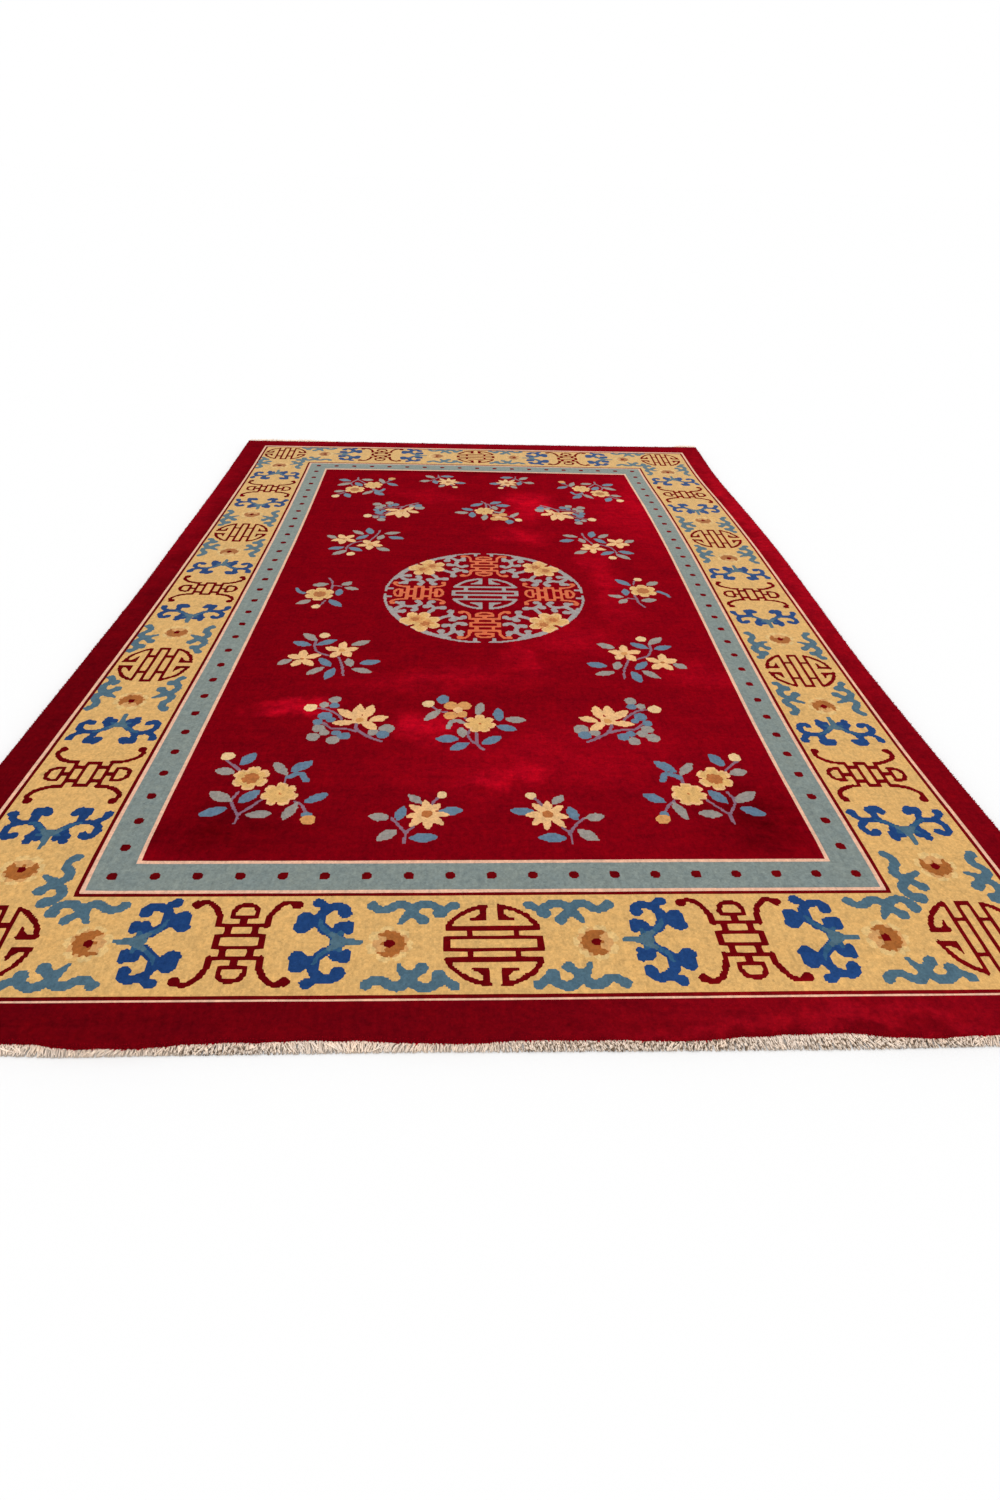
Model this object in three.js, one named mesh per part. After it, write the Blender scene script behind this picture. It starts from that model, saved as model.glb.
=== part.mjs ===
// A hand-knotted wool pile rug lying flat, in millimetres with +Z up.
// One slab holds the pile with its foundation, and each end has its web with a cut cotton fringe.

import * as THREE from "three";

// Driving dimensions. One knot is the unit in which the rug was drawn and woven.
const KNOT = 3.3;
const KNOTS_ACROSS = 548;
const KNOTS_ALONG = 828;
const OUTER_BAND_KNOTS = 20;

const PILE_TOP = 13;
const SWELLS = [
  { rise: 0.7, wavesAcross: 1.25, wavesAlong: 0.6, start: 0.6 },
  { rise: 0.4, wavesAcross: 0.7, wavesAlong: 3.1, start: 2.1 },
];
const RIM_PROFILE = [
  { inset: 1.5, share: 0 },
  { inset: 0, share: 0.28 },
  { inset: 0, share: 0.68 },
  { inset: 2.2, share: 0.92 },
  { inset: 7, share: 1 },
];
const SLAB_COLUMNS = 37;
const SLAB_ROWS = 56;

const SEAT_GAP = 0.3;
const WEB_WIDTH = 6;
const WEB_HEIGHT = 2.6;
const STRANDS_PER_COLUMN = 4;
const STRANDS_PER_END = STRANDS_PER_COLUMN * SLAB_COLUMNS;
const STRAND = {
  rootWidth: 8.4,
  bellyWidth: 8.8,
  tipWidth: 6.8,
  widthSpread: 0.05,
  bellyHeight: 2.3,
  tipHeight: 1.4,
  bellyPlace: 0.5,
  bellyLean: 0.4,
  tipLean: 1.1,
  ragged: 2.2,
};

// How the weaving strays from a true rectangle, a row for each eighth of the length from the
// near end. "Across" and "Along" move the drawing at that side, "Edge" moves the free edge outwards.
const WEAVING_ROWS = [
  { leftAcross: -1, rightAcross: 4, leftAlong: 11, rightAlong: 2, leftEdge: -4, rightEdge: -4 },
  { leftAcross: -17, rightAcross: 6, leftAlong: 1, rightAlong: -1, leftEdge: -5, rightEdge: -5 },
  { leftAcross: -10, rightAcross: -3, leftAlong: 2, rightAlong: 0, leftEdge: -5, rightEdge: -4 },
  { leftAcross: -2, rightAcross: -2, leftAlong: 3, rightAlong: -4, leftEdge: -3, rightEdge: -9 },
  { leftAcross: 4, rightAcross: 3, leftAlong: -4, rightAlong: -5, leftEdge: -2, rightEdge: -4 },
  { leftAcross: 7, rightAcross: 6, leftAlong: -12, rightAlong: -8, leftEdge: 3, rightEdge: 0 },
  { leftAcross: 8, rightAcross: 0, leftAlong: -8, rightAlong: -2, leftEdge: 6, rightEdge: 2 },
  { leftAcross: 7, rightAcross: -12, leftAlong: 1, rightAlong: 10, leftEdge: 9, rightEdge: 8 },
  { leftAcross: -1, rightAcross: -5, leftAlong: 0, rightAlong: 17, leftEdge: 9, rightEdge: 12 },
];

// The scalloped ends of the pile, a column for each twelfth of the width from the left:
// how far the near end stops short of the chart, and how far the far end runs past it.
const END_COLUMNS = [
  { nearShort: 5, farLong: 11 },
  { nearShort: 5, farLong: 12 },
  { nearShort: 9, farLong: 13 },
  { nearShort: 6, farLong: 16 },
  { nearShort: 9, farLong: 14 },
  { nearShort: 9, farLong: 13 },
  { nearShort: 10, farLong: 15 },
  { nearShort: 9, farLong: 17 },
  { nearShort: 10, farLong: 19 },
  { nearShort: 13, farLong: 19 },
  { nearShort: 8, farLong: 22 },
  { nearShort: 13, farLong: 23 },
  { nearShort: 13, farLong: 27 },
];

// The straight line at which each end's fringe was cut, from the middle of the chart.
const FRINGE_CUT = {
  near: { left: 1366, right: 1371 },
  far: { left: 1395, right: 1428 },
};

const COLOURS = { pile: 0x7a1420, cotton: 0xcfc4b0 };

const HALF_WIDTH = (KNOTS_ACROSS / 2) * KNOT;
const HALF_LENGTH = (KNOTS_ALONG / 2) * KNOT;
const OUTER_BAND = OUTER_BAND_KNOTS * KNOT;

const { clamp, lerp } = THREE.MathUtils;

// A column of a table at a share of the way through its rows, on a smooth curve through them.
function valueAt(table, column, share) {
  const last = table.length - 1;
  const place = clamp(share, 0, 1) * last;
  const row = Math.min(Math.floor(place), last - 1);
  const t = place - row;
  const b = table[row][column];
  const c = table[row + 1][column];
  const a = row > 0 ? table[row - 1][column] : 2 * b - c;
  const d = row < last - 1 ? table[row + 2][column] : 2 * c - b;
  return b + 0.5 * t * (c - a + t * (2 * a - 5 * b + 4 * c - d + t * (3 * (b - c) + d - a)));
}

// A repeatable value from -1 to 1 that differs for each index and trait.
function vary(index, trait) {
  const turned = Math.sin(index * 12.9898 + trait * 78.233) * 43758.5453;
  return 2 * (turned - Math.floor(turned)) - 1;
}

// The share of an edge's own shift that reaches a point, from 0 inside the outer band to 1 at the edge.
function edgeShare(distance, half) {
  return clamp((distance - half + OUTER_BAND) / OUTER_BAND, 0, 1);
}

// Where a point of the flat chart lies in the woven rug.
function wovenPoint(u, v) {
  const side = (u + HALF_WIDTH) / (2 * HALF_WIDTH);
  const length = (v + HALF_LENGTH) / (2 * HALF_LENGTH);
  const atSide = (left, right) =>
    lerp(valueAt(WEAVING_ROWS, left, length), valueAt(WEAVING_ROWS, right, length), side);
  const edge = u < 0
    ? -valueAt(WEAVING_ROWS, "leftEdge", length)
    : valueAt(WEAVING_ROWS, "rightEdge", length);
  const end = v < 0
    ? valueAt(END_COLUMNS, "nearShort", side)
    : valueAt(END_COLUMNS, "farLong", side);
  return new THREE.Vector2(
    u + atSide("leftAcross", "rightAcross") + edge * edgeShare(Math.abs(u), HALF_WIDTH),
    v + atSide("leftAlong", "rightAlong") + end * edgeShare(Math.abs(v), HALF_LENGTH),
  );
}

// A point of the slab's own faceted end, which the web follows at an even gap.
function slabEnd(u, outward) {
  const column = clamp(((u + HALF_WIDTH) / (2 * HALF_WIDTH)) * SLAB_COLUMNS, 0, SLAB_COLUMNS);
  const first = Math.min(Math.floor(column), SLAB_COLUMNS - 1);
  const atColumn = (i) => wovenPoint(lerp(-HALF_WIDTH, HALF_WIDTH, i / SLAB_COLUMNS), outward * HALF_LENGTH);
  return atColumn(first).lerp(atColumn(first + 1), column - first);
}

// The height of the clipped pile, which swells a little from place to place.
function pileHeight(u, v) {
  let height = PILE_TOP;
  for (const { rise, wavesAcross, wavesAlong, start } of SWELLS) {
    const across = (u / HALF_WIDTH) * wavesAcross;
    const along = (v / HALF_LENGTH) * wavesAlong;
    height += rise * Math.sin(Math.PI * (across + along) + start);
  }
  return height;
}

// A closed body collected point by point and triangle by triangle.
class Body {
  constructor() {
    this.points = [];
    this.faces = [];
  }

  point(x, y, z) {
    this.points.push(x, y, z);
    return this.points.length / 3 - 1;
  }

  triangle(a, b, c) {
    this.faces.push(a, b, c);
  }

  quad(a, b, c, d) {
    this.triangle(a, b, c);
    this.triangle(a, c, d);
  }

  turnInsideOut() {
    for (let i = 0; i < this.faces.length; i += 3) {
      [this.faces[i + 1], this.faces[i + 2]] = [this.faces[i + 2], this.faces[i + 1]];
    }
  }

  mesh(name, material) {
    const geometry = new THREE.BufferGeometry();
    geometry.setAttribute("position", new THREE.Float32BufferAttribute(this.points, 3));
    geometry.setIndex(this.faces);
    geometry.computeVertexNormals();
    const mesh = new THREE.Mesh(geometry, material);
    mesh.name = name;
    return mesh;
  }
}

// The steps of a walk anticlockwise round a grid's border, as column and row numbers.
function borderWalk(columns, rows) {
  const steps = [];
  for (let i = 0; i < columns; i += 1) steps.push([i, 0]);
  for (let j = 0; j < rows; j += 1) steps.push([columns, j]);
  for (let i = columns; i > 0; i -= 1) steps.push([i, rows]);
  for (let j = rows; j > 0; j -= 1) steps.push([0, j]);
  return steps;
}

// The pile slab: a flat underside, a rim that follows its profile, and a gently swelling top.
function pileCarpet(material) {
  const body = new Body();
  const place = (i, j, inset, share) => {
    const u = lerp(inset - HALF_WIDTH, HALF_WIDTH - inset, i / SLAB_COLUMNS);
    const v = lerp(inset - HALF_LENGTH, HALF_LENGTH - inset, j / SLAB_ROWS);
    const { x, y } = wovenPoint(u, v);
    return body.point(x, y, share * pileHeight(u, v));
  };
  const shoulder = RIM_PROFILE[RIM_PROFILE.length - 1];
  const grid = [];
  for (let j = 0; j <= SLAB_ROWS; j += 1) {
    grid.push([]);
    for (let i = 0; i <= SLAB_COLUMNS; i += 1) {
      grid[j].push(place(i, j, shoulder.inset, shoulder.share));
    }
  }
  for (let j = 0; j < SLAB_ROWS; j += 1) {
    for (let i = 0; i < SLAB_COLUMNS; i += 1) {
      body.quad(grid[j][i], grid[j][i + 1], grid[j + 1][i + 1], grid[j + 1][i]);
    }
  }
  const walk = borderWalk(SLAB_COLUMNS, SLAB_ROWS);
  const rings = RIM_PROFILE.slice(0, -1).map(({ inset, share }) =>
    walk.map(([i, j]) => place(i, j, inset, share)));
  rings.push(walk.map(([i, j]) => grid[j][i]));
  for (let level = 0; level < rings.length - 1; level += 1) {
    const lower = rings[level];
    const upper = rings[level + 1];
    for (let k = 0; k < walk.length; k += 1) {
      const next = (k + 1) % walk.length;
      body.quad(lower[k], lower[next], upper[next], upper[k]);
    }
  }
  const foot = rings[0];
  const outline = foot.map((p) => new THREE.Vector2(body.points[3 * p], body.points[3 * p + 1]));
  for (const [a, b, c] of THREE.ShapeUtils.triangulateShape(outline, [])) {
    body.triangle(foot[a], foot[c], foot[b]);
  }
  return body.mesh("pile_carpet", material);
}

// One end's web with its cut strands fused along it, all resting level on the floor.
function fringe(name, outward, cut, material) {
  const body = new Body();
  const column = (x, y, height) => ({ top: body.point(x, y, height), foot: body.point(x, y, 0) });
  const wall = (from, to) => body.quad(from.foot, to.foot, to.top, from.top);
  const floorAndTop = (...corners) => {
    for (let k = 1; k < corners.length - 1; k += 1) {
      body.triangle(corners[0].top, corners[k].top, corners[k + 1].top);
      body.triangle(corners[0].foot, corners[k + 1].foot, corners[k].foot);
    }
  };
  const webPoint = (u, reach) => {
    const { x, y } = slabEnd(u, outward);
    return column(x, y + outward * reach, WEB_HEIGHT);
  };
  const pitch = (2 * HALF_WIDTH) / STRANDS_PER_END;
  const webEdge = SEAT_GAP + WEB_WIDTH;
  const backs = [];
  for (let k = 0; k <= STRANDS_PER_END; k += 1) {
    backs.push(webPoint(k * pitch - HALF_WIDTH, SEAT_GAP));
  }
  let before = webPoint(-HALF_WIDTH, webEdge);
  wall(before, backs[0]);
  for (let k = 0; k < STRANDS_PER_END; k += 1) {
    const u = (k + 0.5) * pitch - HALF_WIDTH;
    const side = (u + HALF_WIDTH) / (2 * HALF_WIDTH);
    const root = slabEnd(u, outward);
    const rootAt = outward * root.y + webEdge;
    const cutAt = lerp(cut.left, cut.right, side) - (STRAND.ragged / 2) * (1 + vary(k, 3));
    const bellyAt = outward * lerp(rootAt, cutAt, STRAND.bellyPlace);
    const tipAt = outward * cutAt;
    const lean = vary(k, 2);
    const bellyX = root.x + STRAND.bellyLean * lean;
    const tipX = root.x + STRAND.tipLean * lean;
    const half = 0.5 + 0.5 * STRAND.widthSpread * vary(k, 1);
    const rootLeft = webPoint(u - STRAND.rootWidth / 2, webEdge);
    const rootRight = webPoint(u + STRAND.rootWidth / 2, webEdge);
    const bellyLeft = column(bellyX - half * STRAND.bellyWidth, bellyAt, STRAND.bellyHeight);
    const bellyRight = column(bellyX + half * STRAND.bellyWidth, bellyAt, STRAND.bellyHeight);
    const tipLeft = column(tipX - half * STRAND.tipWidth, tipAt, STRAND.tipHeight);
    const tipRight = column(tipX + half * STRAND.tipWidth, tipAt, STRAND.tipHeight);
    wall(rootLeft, before);
    floorAndTop(backs[k], rootLeft, before);
    floorAndTop(backs[k], backs[k + 1], rootRight, rootLeft);
    floorAndTop(rootLeft, rootRight, bellyRight, bellyLeft);
    floorAndTop(bellyLeft, bellyRight, tipRight, tipLeft);
    wall(bellyLeft, rootLeft);
    wall(tipLeft, bellyLeft);
    wall(tipRight, tipLeft);
    wall(bellyRight, tipRight);
    wall(rootRight, bellyRight);
    wall(backs[k], backs[k + 1]);
    before = rootRight;
  }
  const corner = webPoint(HALF_WIDTH, webEdge);
  const lastBack = backs[STRANDS_PER_END];
  wall(corner, before);
  wall(lastBack, corner);
  floorAndTop(lastBack, corner, before);
  if (outward < 0) body.turnInsideOut();
  return body.mesh(name, material);
}

function clothMaterial(name, colour, roughness) {
  return new THREE.MeshStandardMaterial({ name, color: colour, roughness, metalness: 0 });
}

// Every piece, moved together so that the middle of the whole rug stands at the origin.
function buildRug() {
  const pile = clothMaterial("wool_pile", COLOURS.pile, 0.95);
  const cotton = clothMaterial("cotton_fringe", COLOURS.cotton, 0.9);
  const pieces = [
    pileCarpet(pile),
    fringe("fringe_near", -1, FRINGE_CUT.near, cotton),
    fringe("fringe_far", 1, FRINGE_CUT.far, cotton),
  ];
  const rug = new THREE.Group();
  const whole = new THREE.Box3();
  for (const piece of pieces) {
    whole.expandByObject(piece);
    rug.add(piece);
  }
  const middle = whole.getCenter(new THREE.Vector3());
  for (const piece of pieces) {
    piece.geometry.translate(-middle.x, -middle.y, 0);
  }
  return rug;
}

const group = buildRug();

export default group;
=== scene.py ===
"""A hand-knotted wool rug: knot chart, sheared pile and cut warp fringes, with floor, light and camera."""

import math

import bpy
import numpy as np
from mathutils import Matrix, Vector
from mathutils.geometry import delaunay_2d_cdt


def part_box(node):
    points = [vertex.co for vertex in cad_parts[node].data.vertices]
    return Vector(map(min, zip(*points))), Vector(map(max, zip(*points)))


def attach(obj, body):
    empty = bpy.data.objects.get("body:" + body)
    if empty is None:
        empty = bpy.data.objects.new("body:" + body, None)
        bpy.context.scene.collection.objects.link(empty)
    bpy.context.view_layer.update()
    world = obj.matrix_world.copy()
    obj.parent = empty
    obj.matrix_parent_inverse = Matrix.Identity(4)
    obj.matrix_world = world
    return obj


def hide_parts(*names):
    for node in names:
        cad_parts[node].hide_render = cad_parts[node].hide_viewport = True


bl_info = {
    "name": "Knotted Wool Rug",
    "version": (1, 0, 0),
    "blender": (4, 5, 0),
    "location": "View3D > Sidebar > Rug",
    "description": "Weaves a red wool rug with a medallion, flower sprays, a gold border and cut fringes",
    "category": "Object",
}

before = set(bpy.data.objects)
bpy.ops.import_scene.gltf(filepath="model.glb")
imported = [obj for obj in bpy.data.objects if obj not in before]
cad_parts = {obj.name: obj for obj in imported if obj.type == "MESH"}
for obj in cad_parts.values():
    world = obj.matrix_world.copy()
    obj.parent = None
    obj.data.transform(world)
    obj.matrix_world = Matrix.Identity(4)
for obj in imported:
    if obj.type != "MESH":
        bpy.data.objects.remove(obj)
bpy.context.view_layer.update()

# The weaving, in knots and millimetres, the same as the solids.
KNOTS_ACROSS = 548
KNOTS_ALONG = 828
KNOT = 3.3
HALF_ACROSS = KNOTS_ACROSS * KNOT / 2
HALF_ALONG = KNOTS_ALONG * KNOT / 2
OUTER_BAND = 20 * KNOT
PILE_TOP = 13.0

# How far the weaving wanders from its chart at nine rows, from the near end to the far one.
WEAVING_ROWS = {
    "left_across": (-1, -17, -10, -2, 4, 7, 8, 7, -1),
    "right_across": (4, 6, -3, -2, 3, 6, 0, -12, -5),
    "left_along": (11, 1, 2, 3, -4, -12, -8, 1, 0),
    "right_along": (2, -1, 0, -4, -5, -8, -2, 10, 17),
    "left_edge": (-4, -5, -5, -3, -2, 3, 6, 9, 9),
    "right_edge": (-4, -5, -4, -9, -4, 0, 2, 8, 12),
}
# How much the outer band is narrower at the near end and wider at the far one, from left to right.
END_COLUMNS = {
    "near_short": (5, 5, 9, 6, 9, 9, 10, 9, 10, 13, 8, 13, 13),
    "far_long": (11, 12, 13, 16, 14, 13, 15, 17, 19, 19, 22, 23, 27),
}
# Low swells of the lying rug: rise in mm, waves across and along half of it, and where they start.
SWELLS = ((0.7, 1.25, 0.6, 0.6), (0.4, 0.7, 3.1, 2.1))
# The straight line at which each end's fringe was cut, at the left and at the right.
FRINGE_CUT = {-1: (1366.0, 1371.0), 1: (1395.0, 1428.0)}

# The sheared side of the pile, from its top to the floor: inset in mm and share of the height.
SHEARED_SIDE = (
    (7.0, 1.0), (4.2, 0.985), (2.2, 0.93), (0.8, 0.82), (0.1, 0.66),
    (0.0, 0.48), (0.0, 0.28), (0.6, 0.12), (1.5, 0.0),
)

# The chart, in knots from its middle: x to the right, y to the far end.
DOTS_ACROSS = 19
DOTS_ALONG = 33
DOT_PITCH = 20
DOT_RADIUS = 2.75
# Grounds and lines, each inside the one before: yarn, and how far it reaches left, near, right and far.
BANDS = (
    ("cream", 253, 393, 255, 395), ("maroon", 251, 392, 253, 392), ("gold", 249, 390, 251, 390),
    ("maroon", 193, 333, 193, 333), ("cream", 191, 331, 191, 331), ("slate", 189, 329, 189, 329),
    ("cream", 171, 311, 171, 311), ("field_red", 169, 309, 169, 308),
)
MEDALLION = (0.6, -2)
MEDALLION_STRETCH = (0.99, 1.025)
# The border's roundels from the near left corner round the rug, each with the long badge after it.
BORDER_STOPS = (
    ((-223, -361), (-220.5, -240.5)), ((-223, -120), (-220.5, 1)), ((-222, 123.5), (-221, 243.5)),
    ((-224, 365), (-112.5, 365.5)), ((-0.5, 364), (109, 363.5)),
    ((222, 365.5), (222.5, 246)), ((222, 124.5), (221.5, 3)), ((222, -120.5), (221, -239)),
    ((224, -360.5), (111.5, -360.5)), ((-0.5, -362.5), (-112.5, -360.5)),
)

# A roundel beyond both of these, across and along, stands in a corner.
CORNER_FROM = (200, 300)
# How far from each roundel the flower and the tendrils stand.
BLOSSOM_AWAY = 46
TENDRILS_AWAY = 36

# The ornament, around each motif's own middle. Lobes are x, y and radius. Lines are points, the width at
# the start and the width at the end.
# Roundels: where the box and the chord bars lie, half their lengths, the rim's radius and its stops in
# degrees, the caps' place, foot and top, and the hook under each cap.
ROUNDEL = {
    "box": 3.1, "chord": 8.7, "box half": 22, "chord half": 20.8, "rim": 22.1, "stops": (8, 24, 40, 55, 66),
    "cap": (2.1, 13.4, 22.4),
    "hook": [(3, 13.2), (10.4, 13.4), (9.6, 14.8), (7.2, 15.6), (4.6, 18.4), (3, 17)],
}
# Long badges: half the bars' width, where the bars lie, the loop's base, top and half width, its horns.
BORDER_BADGE = {
    "bar": 11.8, "box": 3.2, "chord": 9.2, "strut": 6.2, "loop": (13.6, 22.3, 5.4),
    "curl": [(10.8, 9.3), (10.9, 13.4), (12.8, 18.4), (15.8, 22.4), (19.2, 23.8), (22, 23)],
    "knob": (22.7, 22.2, 2.6), "thick": 2.1, "upright": 2.9,
}
MEDALLION_BADGE = {
    "bar": 12.2, "box": 3.1, "chord": 9.3, "strut": 6.2, "loop": (12.8, 19.9, 6.2),
    "curl": [(11.4, 9.3), (11.5, 13.5), (12.8, 17.8), (15.2, 20.6), (17.6, 21)],
    "knob": (18.4, 19.8, 2.3), "thick": 2.4, "upright": 2.4,
}
# Big scrolls at the ends and along the sides: the way from the long badge to their root, lobes and lines.
BIG_SCROLLS = {
    "row": (-44.6, (
        (-0.2, 17.2, 3.2), (12.4, 23.2, 2.9), (17.2, 13.6, 4.2), (18.0, 8.8, 3.8), (15.0, 11.2, 3.6),
        (1.0, 8.4, 3.4), (-2.4, 9.6, 2.9), (-2.6, 6.4, 2.2), (1.6, 5.4, 2.8),
    ), (
        ([(0, 1), (4.8, 4.4), (8.8, 8), (10.8, 12.5), (10, 17.2), (7, 20.2), (2.6, 21.2), (-0.4, 19)],
         4.8, 5.0),
        ([(8, 19.8), (10.2, 22.2), (12.6, 23.2)], 4.6, 4.4),
    )),
    "side": (-50, (
        (0.6, 16.8, 2.5), (16.2, 24.0, 2.9), (18.0, 12.2, 3.6), (18.8, 8.9, 3.3), (17.0, 7.2, 2.6),
        (2.4, 6.4, 2.9), (-0.8, 8.6, 2.8), (-4.2, 8.6, 2.5), (-1.8, 4.8, 2.5),
    ), (
        ([(1, 0.6), (4.2, 4.4), (8, 8.6), (9.9, 13), (9.5, 18.2), (6.6, 22.2), (2.2, 22.7), (-1.1, 20.2),
          (-0.4, 17)], 3.9, 4.1),
        ([(9.8, 18.4), (12.2, 22.4), (15.4, 24.2)], 3.6, 4.0),
        ([(9.8, 11.6), (14.6, 12.2)], 4.0, 4.4),
    )),
}
# The lines inside a scroll: yarn, how many points of the scroll's own line they follow, and their widths.
SCROLL_VEINS = (("mid_blue", 4, 3.4, 1.8), ("teal", 2, 3.8, 2.4))
SCROLL_SPUR = ([(1.6, 1.8), (0.2, 5.4)], 3.6, 2.2)
SCROLL_ROOT = ([(-9.0, 0.2), (-5, 0.2), (0, 0.2), (2.6, 0.2)], 2.6, 4.6)
TENDRIL_LOBES = ((18.9, 22.9, 2.8), (-11.8, 18.2, 3.4), (-4.2, 13.8, 3.1), (-18.2, 23.1, 2.8))
TENDRIL_STROKES = (
    ([(19, 23), (15.6, 20.2), (12, 20.4), (8.4, 23), (5, 23.6), (2.4, 21.4), (1, 18.6)], 4.6, 5.2),
    ([(1, 19.4), (-2.6, 23), (-6.6, 24), (-10.4, 22), (-12, 20)], 5, 5),
    ([(1.3, 19), (3.2, 16.5), (5.8, 12)], 5.4, 2.4),
    ([(0.4, 18), (-1.8, 16.2), (-4.2, 14)], 5, 4.8),
    ([(-11.6, 21), (-15, 20.8), (-18.2, 23)], 4.4, 4.2),
)
# The border's flower: its outer rings with yarn, place, radius, petals, turn, depth of the cuts and nicks,
# half the outline of its ragged middle, and the radius of its heart.
FLOWER_RINGS = (("halo", 0, 11, 7, 20, 0.3, 0.1), ("blush", -0.6, 8.4, 7, 50, 0.25, 0.05))
RAGGED_HALF = (
    (4, 0.7), (0.8, 1.6), (2.2, 2.4), (1.4, 4.2), (3.6, 4.3), (5.8, 6.2), (3.4, 6.3), (1.6, 8.2), (0.2, 7),
    (-1.6, 8), (-2.6, 6), (-4.6, 6.2), (-4.9, 4), (-6.8, 3.4), (-6, 1.4),
)
RAGGED_TIP = (-7.4, 0)
FLOWER_HEART = 2.2
# The medallion's ring: radius, width, the gaps' turns and half widths, how far they reach in and out, and
# the bar beside each gap as x and y of two corners.
RING_RADIUS = 80.6
RING_WIDTH = 2.1
RING_GAPS = ((0, 2.6), (90, 1.6), (180, 2.6), (270, 1.6))
RING_GAP_REACH = (76, 84)
RING_TICK = (5.4, 74.6, 8.6, 80.6)
# How far from the middle its long badges stand.
RING_BADGE_AWAY = 53.6
RING_STROKES = (
    ([(46, 64.4), (39, 68.6), (32, 72), (26, 74.6)], 3.6, 3.4),
    ([(32.4, 72), (32.5, 64.6)], 4.2, 4.2),
    ([(31.5, 71.6), (26.5, 68), (23.6, 64), (24.3, 58), (22.5, 53.4), (18.8, 51.2), (16.4, 52.6)], 3.8, 3.8),
    ([(24.3, 57.5), (27.2, 54.4), (30, 54.4)], 3.6, 3.6),
    ([(24.4, 65), (20.5, 65.4), (17.6, 70)], 3.8, 3.8),
    ([(37, 45.4), (31.5, 41.6), (27.2, 39.2), (26.4, 34)], 3.6, 3.6),
    ([(26.6, 39), (22.5, 43), (18.6, 44.2), (16.6, 42.4)], 3.6, 3.6),
)
RING_LOBES = (
    (32.5, 64, 3), (15.9, 53.4, 2.7), (30.4, 55.6, 2.7), (18, 65.6, 2.8), (26.5, 32.8, 3), (16.2, 41.8, 2.8),
    (24.4, 46, 3.2),
)
PEONY_LOBES = (
    (39, 46, 4.6), (46.8, 39, 4.7), (38.6, 55.6, 4.6), (56, 38.8, 4.4), (48, 60.4, 4.9), (60.6, 47.6, 4.9),
    (52, 57, 3.8), (57.6, 51.4, 3.8), (49.2, 49.4, 9.4),
)
PEONY_RIMS = (("petal", 0.0), ("gold", 1.7))
PEONY_HEARTS = ((44.6, 52.2), (52.6, 45))
# Each heart's rings: yarn, step aside, radius, turn and depth of the cuts.
PEONY_HEART_RINGS = (("petal_orange", 0, 6.6, 40, 0.5), ("umber", 0.4, 3.8, 0, 0.45))
PEONY_CLEFT = [(52.2, 54.4), (54, 53), (58.4, 56.4), (56.4, 58.6)]
# The middle roundel: step to the right, scale, thickness of its level and upright bars, place of the strut.
MIDDLE_ROUNDEL = (0.7, 1.24, 2.3, 2.3, 12.7)

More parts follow.
